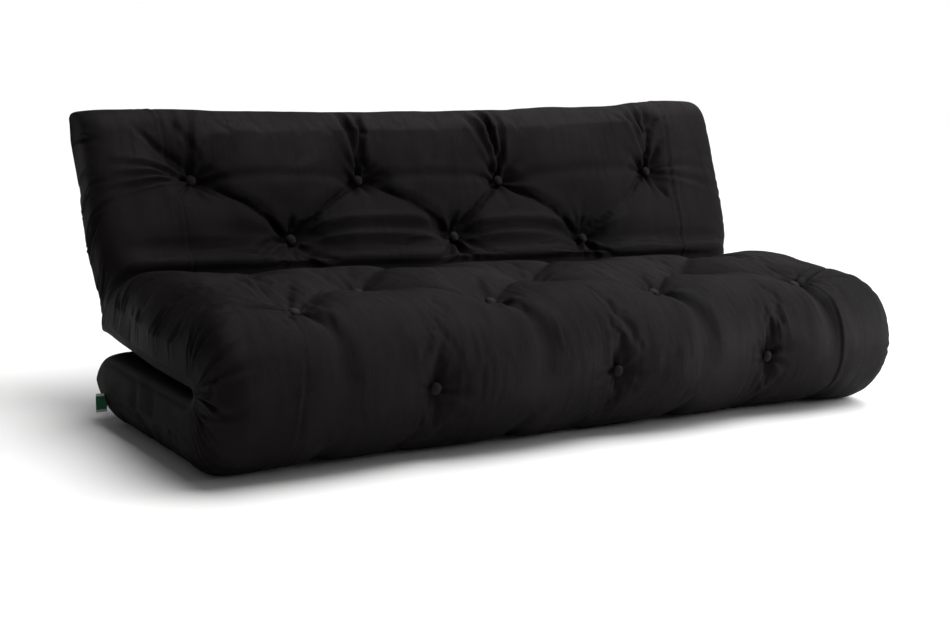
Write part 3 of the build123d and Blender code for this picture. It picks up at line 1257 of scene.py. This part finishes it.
    @staticmethod
    def shade(mesh: bpy.types.Mesh, normals: np.ndarray, is_lid: np.ndarray) -> None:
        """Gives a mesh the whole cover's normals, so that its cuts don't show."""
        loops = np.zeros(len(mesh.loops), int)
        mesh.loops.foreach_get("vertex_index", loops)
        starts = np.zeros(len(mesh.polygons), int)
        mesh.polygons.foreach_get("loop_start", starts)
        totals = np.zeros(len(mesh.polygons), int)
        mesh.polygons.foreach_get("loop_total", totals)
        face = np.repeat(np.arange(len(totals)), totals)
        face_normals = np.zeros(len(mesh.polygons) * 3)
        mesh.polygons.foreach_get("normal", face_normals)
        wanted = normals[loops]
        lid_loops = is_lid[face]
        wanted[lid_loops] = face_normals.reshape(-1, 3)[face[lid_loops]]
        mesh.normals_split_custom_set(wanted.tolist())

    def build(self) -> list[bpy.types.Object]:
        """The three pieces of the cover.

        Returns:
            The lower, middle and upper pieces.
        """
        points, relief = self.shape()
        rows = relief.rows
        at_fold = int(np.argmin(np.abs(rows - FOLD_MIDDLE)))
        at_seat = int(np.argmin(np.abs(rows - self.seat_cut)))
        lower = self.piece("cover_base", points, relief, 0, at_fold)
        middle = self.piece("cover_front", points, relief, at_fold, at_seat)
        upper = self.piece("cover_back", points, relief, at_seat, len(points) - 1)
        widths = ("left", "centre", "right")
        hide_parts(*[f"base_cover_{n}" for n in widths],
                    "base_wadding_outer", "base_wadding_inner")
        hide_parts(*[f"{s}_cover_{n}" for s in ("fold", "seat") for n in widths],
                    "fold_wadding", "seat_wadding_outer", "seat_wadding_inner")
        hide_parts(*[f"back_cover_{n}" for n in widths],
                    "back_wadding_outer", "back_wadding_inner")
        for piece, first, second, name in (
            (lower, "front_fold", "base_section", "lower"),
            (middle, "seat_section", "front_fold", "upper"),
            (upper, "seat_section", "back_section", "back"),
        ):
            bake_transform(piece)
        return [lower, middle, upper]


# ---------------------------------------------------------------------------------------------------------
# Finishes
# ---------------------------------------------------------------------------------------------------------


Socket = bpy.types.NodeSocket
Number = float | bpy.types.NodeSocket
Colour = tuple[float, ...] | bpy.types.NodeSocket


class Graph:
    """A short way to write a node tree."""

    def __init__(self, tree: bpy.types.NodeTree) -> None:
        """Starts writing into a tree."""
        self.tree = tree

    def node(self, kind: str, inputs: dict | None = None, **settings) -> bpy.types.Node:
        """Adds a node.

        Args:
            kind: the node's type, without its ShaderNode prefix.
            inputs: values or sockets for its inputs, by name or number.
            settings: its own settings.

        Returns:
            The node.
        """
        made = self.tree.nodes.new(kind if kind.startswith("Node") else f"ShaderNode{kind}")
        for name, value in settings.items():
            setattr(made, name, value)
        for key, value in (inputs or {}).items():
            if isinstance(value, Socket):
                self.link(value, made.inputs[key])
            else:
                made.inputs[key].default_value = value
        return made

    def link(self, source: Socket, target: Socket) -> None:
        """Joins two sockets."""
        self.tree.links.new(source, target)

    def math(self, operation: str, first: Number, second: Number = 0.5, third: Number = 0.0) -> Socket:
        """The result of a math node."""
        return self.node("Math", {0: first, 1: second, 2: third}, operation=operation).outputs[0]

    def ramp(self, value: Number, low: float, high: float, start: float = 0.0, end: float = 1.0) -> Socket:
        """A number taken smoothly from one range to another."""
        ranges = {"From Min": low, "From Max": high, "To Min": start, "To Max": end}
        made = self.node("MapRange", {"Value": value, **ranges}, interpolation_type="SMOOTHSTEP")
        return made.outputs[0]

    def mix(self, factor: Number, first: Colour, second: Colour) -> Socket:
        """A mix of two colours."""
        made = self.node("Mix", {0: factor, 6: first, 7: second}, data_type="RGBA")
        return made.outputs[2]


def shader_group(
    name: str, inputs: dict[str, tuple[str, object]], outputs: dict[str, str]
) -> tuple[bpy.types.NodeTree, Graph, bpy.types.Node, bpy.types.Node]:
    """A new node group with its sockets.

    Args:
        name: its name.
        inputs: each input's socket type and value.
        outputs: each output's socket type.

    Returns:
        The group, its graph, and its input and output nodes.
    """
    group = bpy.data.node_groups.new(name, "ShaderNodeTree")
    for label, (kind, value) in inputs.items():
        socket = group.interface.new_socket(name=label, in_out="INPUT", socket_type=kind)
        if value is not None:
            socket.default_value = value
    for label, kind in outputs.items():
        group.interface.new_socket(name=label, in_out="OUTPUT", socket_type=kind)
    graph = Graph(group)
    return group, graph, graph.node("NodeGroupInput"), graph.node("NodeGroupOutput")


class Effect(Enum):
    """The effects that several finishes share."""

    TWILL = "twill_weave"
    FUZZ = "fibre_fuzz"
    AGE = "cloth_age"
    CRUMPLE = "soft_crumple"

    def group(self) -> bpy.types.NodeTree:
        """The effect's node group, made the first time it is asked for."""
        return bpy.data.node_groups.get(self.value) or getattr(self, f"make_{self.name.lower()}")()

    def make_twill(self) -> bpy.types.NodeTree:
        """Twill weave: Height of the threads, and a Thread mask."""
        group, graph, start, end = shader_group(
            self.value,
            {"Vector": ("NodeSocketVector", None), "Threads": ("NodeSocketFloat", 1400.0)},
            {"Height": "NodeSocketFloat", "Thread": "NodeSocketFloat"},
        )
        split = graph.node("SeparateXYZ", {0: start.outputs["Vector"]})
        turns = graph.math("MULTIPLY", start.outputs["Threads"], 2 * math.pi)
        warp = graph.math("MULTIPLY", split.outputs[0], turns)
        weft = graph.math("MULTIPLY", split.outputs[1], turns)
        rib = graph.math("SINE", graph.math("ADD", warp, weft))
        thread = graph.math("SINE", graph.math("MULTIPLY", warp, 2.0))
        cross = graph.math("SINE", graph.math("MULTIPLY", weft, 2.0))
        woven = graph.math("MULTIPLY", thread, cross)
        height = graph.math("MULTIPLY_ADD", woven, 0.3, graph.math("MULTIPLY", rib, 0.7))
        graph.link(height, end.inputs["Height"])
        graph.link(graph.ramp(height, -0.8, 0.9), end.inputs["Thread"])
        return group

    def make_fuzz(self) -> bpy.types.NodeTree:
        """Loose fibres: Height and a Lint mask of rare pale specks."""
        group, graph, start, end = shader_group(
            self.value,
            {"Vector": ("NodeSocketVector", None), "Scale": ("NodeSocketFloat", 900.0)},
            {"Height": "NodeSocketFloat", "Lint": "NodeSocketFloat"},
        )
        noise = graph.node("TexNoise", {"Vector": start.outputs["Vector"], "Scale": start.outputs["Scale"],
                                        "Detail": 3.0, "Roughness": 0.6})
        specks = graph.node("TexVoronoi", {"Vector": start.outputs["Vector"], "Scale": 70.0,
                                           "Randomness": 1.0})
        rare = graph.node("TexNoise", {"Vector": start.outputs["Vector"], "Scale": 9.0, "Detail": 2.0})
        lint = graph.math("MULTIPLY", graph.ramp(specks.outputs["Distance"], 0.06, 0.02),
                          graph.ramp(rare.outputs[0], 0.6, 0.72))
        graph.link(noise.outputs[0], end.inputs["Height"])
        graph.link(lint, end.inputs["Lint"])
        return group

    def make_age(self) -> bpy.types.NodeTree:
        """Uneven dye and wear: a Fade mask and a Rub mask."""
        group, graph, start, end = shader_group(
            self.value,
            {"Vector": ("NodeSocketVector", None), "Scale": ("NodeSocketFloat", 3.0)},
            {"Fade": "NodeSocketFloat", "Rub": "NodeSocketFloat"},
        )
        broad = graph.node("TexNoise", {"Vector": start.outputs["Vector"], "Scale": start.outputs["Scale"],
                                        "Detail": 5.0, "Roughness": 0.55, "Distortion": 0.4})
        streaks = graph.node("Mapping", {"Vector": start.outputs["Vector"], "Scale": (60.0, 6.0, 6.0)})
        fine = graph.node("TexNoise", {"Vector": streaks.outputs[0], "Scale": 1.0, "Detail": 4.0})
        graph.link(graph.ramp(broad.outputs[0], 0.3, 0.7), end.inputs["Fade"])
        graph.link(graph.ramp(fine.outputs[0], 0.45, 0.75), end.inputs["Rub"])
        return group

    def make_crumple(self) -> bpy.types.NodeTree:
        """Small soft wrinkles that run along the cloth: Height."""
        group, graph, start, end = shader_group(
            self.value,
            {"Vector": ("NodeSocketVector", None), "Across": ("NodeSocketFloat", 70.0),
             "Along": ("NodeSocketFloat", 14.0)},
            {"Height": "NodeSocketFloat"},
        )
        stretch = graph.node("CombineXYZ", {0: start.outputs["Across"], 1: start.outputs["Along"], 2: 1.0})
        placed = graph.node("VectorMath", {0: start.outputs["Vector"], 1: stretch.outputs[0]},
                            operation="MULTIPLY")
        noise = graph.node("TexNoise", {"Vector": placed.outputs[0], "Scale": 1.0, "Detail": 4.0,
                                        "Roughness": 0.55, "Distortion": 0.7})
        ridge = graph.math("ABSOLUTE", graph.math("SUBTRACT", noise.outputs[0], 0.5))
        patch = graph.node("TexNoise", {"Vector": start.outputs["Vector"], "Scale": 7.0, "Detail": 2.0})
        height = graph.math("MULTIPLY", graph.ramp(ridge, 0.0, 0.16),
                            graph.ramp(patch.outputs[0], 0.38, 0.68))
        graph.link(height, end.inputs["Height"])
        return group


@dataclass(frozen=True)
class Finish:
    """A cloth-like finish."""

    name: str
    colour: tuple[float, float, float]
    roughness: float = 0.85
    sheen: float = 0.3
    specular: float = 0.25
    speck: float = 0.02  # how much paler its lint is

    def material(self) -> bpy.types.Material:
        """The finish's material, made the first time it is asked for."""
        full_name = f"{self.name}_finish"
        found = bpy.data.materials.get(full_name)
        if found:
            return found
        made = bpy.data.materials.new(full_name)
        made.use_nodes = True
        made.node_tree.nodes.clear()
        graph = Graph(made.node_tree)
        shader = graph.node("BsdfPrincipled", {
            "Roughness": self.roughness, "Specular IOR Level": self.specular,
            "Sheen Weight": self.sheen, "Sheen Roughness": 0.45})
        shader.inputs["Sheen Tint"].default_value = (*self.sheen_tint(), 1.0)
        end = graph.node("OutputMaterial")
        graph.link(shader.outputs[0], end.inputs[0])
        self.dress(graph, shader)
        made.diffuse_color = (*self.colour, 1.0)
        return made

    def sheen_tint(self) -> tuple[float, float, float]:
        """The colour of the finish's fine surface fibres."""
        return tuple(min(1.0, 0.35 + 6 * c) for c in self.colour)

    def shade(self, share: float, more: float = 0.0) -> tuple[float, ...]:
        """The finish's colour, made darker or paler, with full opacity."""
        return tuple(min(1.0, c * share + more) for c in self.colour) + (1.0,)

    def effect(self, graph: Graph, which: Effect, vector: Socket, **values: float) -> bpy.types.Node:
        """Places a shared effect in the material."""
        made = graph.node("Group", node_tree=which.group())
        graph.link(vector, made.inputs["Vector"])
        for label, value in values.items():
            made.inputs[label].default_value = value
        return made

    def shades(
        self, graph: Graph, age: bpy.types.Node, thread: Socket | None = None, lint: Socket | None = None
    ) -> Socket:
        """The colour, uneven in dye, darker between threads and with rare lint."""
        colour = graph.mix(age.outputs["Fade"], self.shade(0.72), self.shade(1.35, 0.0008))
        if thread is not None:
            colour = graph.mix(graph.ramp(thread, 0.0, 0.45, 0.45, 0.0), colour, self.shade(0.55))
        if lint is not None:
            colour = graph.mix(lint, colour, self.shade(4, self.speck))
        return colour

    def roughen(
        self, graph: Graph, shader: bpy.types.Node, age: bpy.types.Node, less: float, more: float
    ) -> None:
        """Lets the roughness follow the wear.

        Args:
            graph: the material's graph.
            shader: its shader.
            age: the effect with the wear.
            less: how much smoother the unworn cloth is.
            more: how much rougher the worn cloth is.
        """
        rough = graph.ramp(age.outputs["Rub"], 0.0, 1.0, self.roughness - less, self.roughness + more)
        graph.link(rough, shader.inputs["Roughness"])

    def dress(self, graph: Graph, shader: bpy.types.Node) -> None:
        """Adds the finish's colour and surface."""
        coords = graph.node("TexCoord").outputs["Object"]
        age = self.effect(graph, Effect.AGE, coords, Scale=12.0)
        fuzz = self.effect(graph, Effect.FUZZ, coords, Scale=1400.0)
        graph.link(self.shades(graph, age, None, fuzz.outputs["Lint"]), shader.inputs["Base Color"])
        bump = graph.node("Bump", {"Height": fuzz.outputs["Height"], "Distance": 0.0006, "Strength": 0.7})
        graph.link(bump.outputs[0], shader.inputs["Normal"])
        self.roughen(graph, shader, age, less=0.05, more=0.06)


@dataclass(frozen=True)
class CoverCloth(Finish):
    """The cover's cotton twill, with its two topstitched seams."""

    name: str = "cover_cotton_twill"
    colour: tuple[float, float, float] = (0.0068, 0.0054, 0.0061)
    roughness: float = 0.6
    sheen: float = 0.008
    specular: float = 0.03
    threads: float = 1250.0
    stitch_length: float = 0.0042

    def dress(self, graph: Graph, shader: bpy.types.Node) -> None:
        """Adds the twill, its wrinkles, its wear and the stitches along the seams."""
        cloth = graph.node("UVMap", uv_map="cloth").outputs[0]
        coords = graph.node("TexCoord").outputs["Object"]
        twill = self.effect(graph, Effect.TWILL, cloth, Threads=self.threads)
        fuzz = self.effect(graph, Effect.FUZZ, coords, Scale=1100.0)
        age = self.effect(graph, Effect.AGE, coords, Scale=4.0)
        crumple = self.effect(graph, Effect.CRUMPLE, cloth, Across=80.0, Along=13.0)
        seam = graph.node("SeparateXYZ", {0: graph.node("UVMap", uv_map="seams").outputs[0]})
        beside = graph.ramp(seam.outputs[0], 0.0013, 0.0007)
        phase = graph.math("FRACT", graph.math("DIVIDE", seam.outputs[1], self.stitch_length))
        dash = graph.ramp(graph.math("ABSOLUTE", graph.math("SUBTRACT", phase, 0.5)), 0.42, 0.34)
        stitch = graph.math("MULTIPLY", beside, dash)
        colour = self.shades(graph, age, twill.outputs["Thread"], fuzz.outputs["Lint"])
        colour = graph.mix(stitch, colour, self.shade(2.0))
        graph.link(colour, shader.inputs["Base Color"])
        self.roughen(graph, shader, age, less=0.06, more=0.07)
        bump = graph.node("Bump", {"Height": crumple.outputs["Height"], "Distance": 0.0012, "Strength": 0.4})
        for height, distance, strength in (
            (fuzz.outputs["Height"], 0.0003, 0.4),
            (twill.outputs["Height"], 0.00022, 0.7),
            (stitch, 0.0006, 0.9),
        ):
            bump = graph.node("Bump", {"Height": height, "Distance": distance, "Strength": strength,
                                       "Normal": bump.outputs[0]})
        graph.link(bump.outputs[0], shader.inputs["Normal"])


@dataclass(frozen=True)
class LabelWeave(Finish):
    """A plain woven label with pale selvedges and no words."""

    name: str = "label_plain_weave"
    colour: tuple[float, float, float] = (0.02, 0.12, 0.06)
    roughness: float = 0.7
    edge_colour: tuple[float, float, float] = (0.55, 0.56, 0.52)

    def dress(self, graph: Graph, shader: bpy.types.Node) -> None:
        """Adds the ribbed weave and the pale bands at top and bottom."""
        low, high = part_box("care_label")
        coords = graph.node("TexCoord").outputs["Object"]
        split = graph.node("SeparateXYZ", {0: coords})
        middle, half = (low.z + high.z) / 2, (high.z - low.z) / 2
        off = graph.math("ABSOLUTE", graph.math("SUBTRACT", split.outputs[2], middle))
        band = graph.ramp(off, half * 0.7, half * 0.74)
        age = self.effect(graph, Effect.AGE, coords, Scale=40.0)
        body = self.shades(graph, age)
        graph.link(graph.mix(band, body, (*self.edge_colour, 1.0)), shader.inputs["Base Color"])
        rib = graph.math("SINE", graph.math("MULTIPLY", split.outputs[2], 9000.0))
        bump = graph.node("Bump", {"Height": rib, "Distance": 0.0002, "Strength": 0.6})
        graph.link(bump.outputs[0], shader.inputs["Normal"])


BUTTON_CLOTH = Finish("button_cloth", (0.0074, 0.0059, 0.0066), roughness=0.58, sheen=0.01, specular=0.04,
                      speck=0.01)
WASHER_FELT = Finish("washer_felt", (0.010, 0.0095, 0.010), roughness=0.95, sheen=0.1, specular=0.1)
CORE_FOAM = Finish("core_foam", (0.72, 0.66, 0.48), roughness=0.9, sheen=0.1)
TUFT_CORD = Finish("tuft_cord", (0.02, 0.02, 0.02), roughness=0.75, sheen=0.2)


# ---------------------------------------------------------------------------------------------------------
# Buttons, washers and label
# ---------------------------------------------------------------------------------------------------------


def leave_edit_mode() -> None:
    """Goes back to object mode with nothing selected."""
    if bpy.context.mode != "OBJECT":
        bpy.ops.object.mode_set(mode="OBJECT")
    bpy.ops.object.select_all(action="DESELECT")


def select_faces(piece: bpy.types.Object, wanted: Callable[[Vector, Vector], bool]) -> None:
    """Selects a piece's faces in edit mode.

    Args:
        piece: the piece, which is active and in edit mode.
        wanted: says of a face's normal and middle whether it is chosen.
    """
    bpy.ops.mesh.select_all(action="DESELECT")
    bpy.ops.object.mode_set(mode="OBJECT")
    for face in piece.data.polygons:
        face.select = bool(wanted(face.normal, face.center))
    bpy.ops.object.mode_set(mode="EDIT")


def new_disc(radius: float, depth: float, sides: int) -> bpy.types.Object:
    """A disc standing on z = 0 at the origin, in edit mode."""
    leave_edit_mode()
    bpy.ops.mesh.primitive_cylinder_add(vertices=sides, radius=radius, depth=depth,
                                        location=(0, 0, depth / 2))
    piece = bpy.context.object
    bpy.ops.object.transform_apply(location=True)
    bpy.ops.object.mode_set(mode="EDIT")
    bpy.ops.mesh.select_mode(type="FACE")
    return piece


def step_faces(steps: tuple[tuple[float, float], ...], radius: float, rise: float) -> None:
    """Insets the selected faces again and again, and lifts them each time.

    Args:
        steps: each step's inset, as a share of the radius, and its lift, as a share of the rise.
        radius: the piece's radius.
        rise: the height that the lifts are shares of.
    """
    for inset, lift in steps:
        bpy.ops.mesh.inset(thickness=inset * radius)
        bpy.ops.transform.translate(value=(0, 0, lift * rise))


def round_off(piece: bpy.types.Object) -> None:
    """Rounds a piece by subdividing it twice, and shades it smooth."""
    finish = piece.modifiers.new("round", "SUBSURF")
    finish.levels = finish.render_levels = 2
    bpy.ops.object.modifier_apply(modifier="round")
    bpy.ops.object.shade_smooth()


@dataclass
class CoveredButton:
    """A cloth-covered button: a domed cap with small gathers where its cloth is turned under."""

    radius: float = 0.0145
    height: float = 0.009
    sides: int = 32
    rim_share: float = 0.45  # how much of its height is the rim
    dome: tuple[tuple[float, float], ...] = ((0.16, 0.24), (0.2, 0.17), (0.24, 0.1), (0.22, 0.04))
    gather: float = 0.0005

    def model(self) -> bpy.types.Object:
        """One button, standing on z = 0 at the origin."""
        rim = self.rim_share * self.height
        piece = new_disc(self.radius * 0.93, rim, self.sides)
        select_faces(piece, lambda normal, centre: normal.z > 0.9)
        step_faces(self.dome, self.radius, self.height)
        select_faces(piece, lambda normal, centre: normal.z < -0.9)
        step_faces(((0.3, 0.1),), self.radius, self.height)
        bpy.ops.object.mode_set(mode="OBJECT")
        for vertex in piece.data.vertices:
            out = math.hypot(vertex.co.x, vertex.co.y)
            if out > 0.9 * self.radius:
                number = round(math.atan2(vertex.co.y, vertex.co.x) / (2 * math.pi) * self.sides)
                share = 1 + (self.gather if number % 2 else -self.gather) / out
                swell = 1.07 if vertex.co.z > 0.3 * rim else 0.98
                vertex.co.x *= share * swell
                vertex.co.y *= share * swell
        round_off(piece)
        return piece


@dataclass
class FeltWasher:
    """A soft felt disc with a dimple where the cord is tied off."""

    radius: float = 0.009
    thickness: float = 0.003
    sides: int = 24
    dimple: tuple[tuple[float, float], ...] = ((0.12, 0.0), (0.3, -0.05), (0.3, -0.35))

    def model(self) -> bpy.types.Object:
        """One washer, standing on z = 0 at the origin, with its outer face up."""
        piece = new_disc(self.radius, self.thickness, self.sides)
        select_faces(piece, lambda normal, centre: normal.z > 0.9)
        step_faces(self.dimple, self.radius, self.thickness)
        select_faces(piece, lambda normal, centre: normal.z < -0.9)
        step_faces(((0.12, 0.0),), self.radius, self.thickness)
        bpy.ops.object.mode_set(mode="OBJECT")
        round_off(piece)
        return piece


@dataclass
class Tufting:
    """Rows of buttons and washers, each in place of its CAD node."""

    button: CoveredButton = field(default_factory=CoveredButton)
    washer: FeltWasher = field(default_factory=FeltWasher)
    front_tip: float = 0.42  # how far the seat's first row tips forward, as a slope
    bodies: dict[str, str] = field(default_factory=lambda: {
        "base": "base_section", "fold": "front_fold", "seat": "seat_section", "back": "back_section"})

    def facing(self, section: str, outer: bool, lean: float) -> Vector:
        """The direction that a section's buttons or washers face."""
        out = {
            "base": Vector((0, 0, -1)),
            "fold": Vector((0, -1, 0)),
            "seat": Vector((0, 0, 1)),
            "back": Vector((0, -math.cos(lean), math.sin(lean))),
        }[section]
        return out if outer else -out

    def row(
        self, node: str, pattern: bpy.types.Object, height: float, name: str, finish: Finish, lean: float
    ) -> bpy.types.Object:
        """Copies a pattern to each of a node's places.

        Args:
            node: the CAD node that the row stands for.
            pattern: the piece to copy, standing on z = 0.
            height: the pattern's height.
            name: the row's name.
            finish: its finish, whose material the row is given.
            lean: the back's lean.

        Returns:
            The row as one piece.
        """
        section = node.split("_")[0]
        facing = self.facing(section, "buttons" in node, lean)
        if node == "seat_buttons_front":
            facing = (facing + Vector((0, -self.front_tip, 0))).normalized()
        turn = facing.to_track_quat("Z", "Y").to_matrix().to_4x4()
        copies = []
        for number, centre in enumerate(cluster_centres(node)):
            spin = Matrix.Rotation(number * 2.4, 4, "Z")
            foot = Vector(centre) - facing * (height / 2)
            copy = bpy.data.objects.new(f"{name}_{number}", pattern.data.copy())
            copy.data.transform(Matrix.Translation(foot) @ turn @ spin)
            bpy.context.scene.collection.objects.link(copy)
            copies.append(copy)
        leave_edit_mode()
        for copy in copies:
            copy.select_set(True)
        bpy.context.view_layer.objects.active = copies[0]
        bpy.ops.object.join()
        row = bpy.context.object
        row.name = name
        row.data.materials.clear()
        row.data.materials.append(finish.material())
        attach(row, self.bodies[section])
        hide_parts(node)
        return row

    def build(self, bones: Skeleton) -> None:
        """Makes every row of buttons and every section's washers."""
        button, washer = self.button.model(), self.washer.model()
        for node in sorted(frame["nodes"]):
            section, _, place = node.partition("_buttons_")
            if place:
                name = f"{section}_{place}_covered_buttons"
                self.row(node, button, self.button.height, name, BUTTON_CLOTH, bones.lean)
            elif node.endswith("_tuft_washers"):
                name = f"{node.split('_')[0]}_felt_washers"
                self.row(node, washer, self.washer.thickness, name, WASHER_FELT, bones.lean)
        for pattern in (button, washer):
            bpy.data.objects.remove(pattern)


@dataclass
class CareLabel:
    """A blank loop label sewn into the end of the base."""

    finish: LabelWeave = field(default_factory=LabelWeave)
    thickness: float = 0.0009

    def build(self) -> bpy.types.Object:
        """The label: a strip folded on itself, slightly curled."""
        low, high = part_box("care_label")
        leave_edit_mode()
        size = high - low
        bpy.ops.mesh.primitive_grid_add(x_subdivisions=10, y_subdivisions=16, size=1, location=(0, 0, 0))
        piece = bpy.context.object
        piece.name = "blank_care_label"
        mesh = piece.data
        for vertex in mesh.vertices:
            share = 0.5 - vertex.co.x
            curl = 0.0035 * share * share * math.sin(2.2 * (vertex.co.y + 0.3))
            vertex.co = (high.x + 0.006 - (size.x + 0.004) * share, (low.y + high.y) / 2 + curl,
                         low.z + size.z * (vertex.co.y + 0.5))
        solid = piece.modifiers.new("thick", "SOLIDIFY")
        solid.thickness = self.thickness
        solid.offset = 0
        bpy.ops.object.modifier_apply(modifier="thick")
        bevel = piece.modifiers.new("soft_edge", "BEVEL")
        bevel.width = 0.0003
        bevel.segments = 2
        bpy.ops.object.modifier_apply(modifier="soft_edge")
        bpy.ops.object.shade_smooth()
        mesh.materials.clear()
        mesh.materials.append(self.finish.material())
        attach(piece, "base_section")
        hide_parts("care_label")
        return piece


def dress_cad_nodes() -> None:
    """Gives the CAD nodes that stay inside the cover their own finishes."""
    for name, node in frame["nodes"].items():
        finish = CORE_FOAM if name.endswith("_core") else TUFT_CORD if name.endswith("_cords") else None
        if finish:
            node.data.materials.clear()
            node.data.materials.append(finish.material())


# ---------------------------------------------------------------------------------------------------------
# Studio
# ---------------------------------------------------------------------------------------------------------


@dataclass
class Studio:
    """A pale floor, soft light and the camera."""

    camera_place: tuple[float, float, float] = (-2.1306, -2.6412, 0.8332)
    yaw: float = math.radians(36.32)
    pitch: float = math.radians(10.13)
    roll: float = math.radians(3.76)
    focal: float = 1396.7  # in the units in which the frame is frame_width wide
    frame_width: float = 950
    sensor_width: float = 36
    world_strength: float = 0.12
    backdrop_strength: float = 1.0
    daylight: float = 4.0
    daylight_spread: float = 1.0
    daylight_from: tuple[float, float, float] = (0.45, 0.12, 0.88)
    floor_colour: tuple[float, float, float] = (0.95, 0.95, 0.945)

    def floor(self) -> None:
        """A wide pale floor with a slight unevenness in its gloss."""
        leave_edit_mode()
        bpy.ops.mesh.primitive_plane_add(size=60, location=(0, 0, -0.0005))
        ground = bpy.context.object
        ground.name = "studio_floor"
        made = bpy.data.materials.new("studio_floor")
        made.use_nodes = True
        graph = Graph(made.node_tree)
        shader = made.node_tree.nodes["Principled BSDF"]
        shader.inputs["Base Color"].default_value = (*self.floor_colour, 1.0)
        noise = graph.node("TexNoise", {"Scale": 3.0})
        graph.link(graph.ramp(noise.outputs[0], 0.3, 0.7, 0.5, 0.6), shader.inputs["Roughness"])
        ground.data.materials.append(made)

    def area(self, name: str, place: tuple, target: tuple, size: tuple, power: float) -> None:
        """Adds a soft box.

        Args:
            name: its name.
            place: where it hangs.
            target: what it faces.
            size: its width and height.
            power: its power in watts.
        """
        light = bpy.data.lights.new(name, "AREA")
        light.shape = "RECTANGLE"
        light.size, light.size_y = size
        light.energy = power
        lamp = bpy.data.objects.new(name, light)
        lamp.location = place
        lamp.rotation_euler = (Vector(target) - Vector(place)).to_track_quat("-Z", "Y").to_euler()
        bpy.context.scene.collection.objects.link(lamp)

    def lights(self) -> None:
        """A soft sun from the upper right, a rim light on the right and two weak soft boxes."""
        self.area("overhead", (0.4, -0.3, 2.8), (0.1, 0.1, 0.3), (2.4, 1.2), 15)
        self.area("front_right", (2.0, -2.9, 1.8), (0.2, 0, 0.35), (1.2, 1.2), 12)
        self.area("right_rim", (3.0, -0.8, 1.1), (0.8, 0, 0.35), (1.0, 1.6), 60)
        sun = bpy.data.lights.new("soft_daylight", "SUN")
        sun.energy = self.daylight
        sun.angle = self.daylight_spread
        lamp = bpy.data.objects.new("soft_daylight", sun)
        lamp.rotation_euler = Vector(self.daylight_from).to_track_quat("Z", "Y").to_euler()
        bpy.context.scene.collection.objects.link(lamp)
        world = bpy.data.worlds.new("studio")
        bpy.context.scene.world = world
        world.use_nodes = True
        graph = Graph(world.node_tree)
        sky = world.node_tree.nodes["Background"]
        sky.inputs[0].default_value = (1, 1, 1, 1)
        seen = graph.node("LightPath").outputs["Is Camera Ray"]
        strength = graph.node("MapRange", {"Value": seen, "To Min": self.world_strength,
                                           "To Max": self.backdrop_strength})
        graph.link(strength.outputs[0], sky.inputs[1])

    def camera(self) -> None:
        """The camera, turned by its yaw, pitch and roll."""
        made = bpy.data.cameras.new("camera")
        made.sensor_width = self.sensor_width
        made.lens = self.sensor_width * self.focal / self.frame_width
        made.clip_start, made.clip_end = 0.05, 100
        seat = bpy.data.objects.new("camera", made)
        bpy.context.scene.collection.objects.link(seat)
        flat = math.cos(self.pitch)
        forward = Vector((math.sin(self.yaw) * flat, math.cos(self.yaw) * flat, -math.sin(self.pitch)))
        level = Vector((math.cos(self.yaw), -math.sin(self.yaw), 0))
        above = level.cross(forward)
        right = level * math.cos(self.roll) + above * math.sin(self.roll)
        up = above * math.cos(self.roll) - level * math.sin(self.roll)
        turned = Matrix((right, up, -forward)).transposed().to_4x4()
        seat.matrix_world = Matrix.Translation(self.camera_place) @ turned
        bpy.context.scene.camera = seat

    def build(self) -> None:
        """Sets up the whole studio."""
        self.floor()
        self.lights()
        self.camera()
        bpy.context.scene.view_settings.view_transform = "Standard"


def main() -> None:
    """Builds the mattress and the studio."""
    logging.basicConfig(level=logging.INFO, format="%(message)s", stream=sys.stdout)
    Studio().build()
    bones = Skeleton()
    slab = FoldedSlab(bones)
    cover = Cover(slab, CoverCloth())
    for piece in cover.build():
        log.info("%s: %d faces", piece.name, len(piece.data.polygons))
    Tufting().build(bones)
    log.info("%s", CareLabel().build().name)
    dress_cad_nodes()


if __name__ == "__main__":
    main()
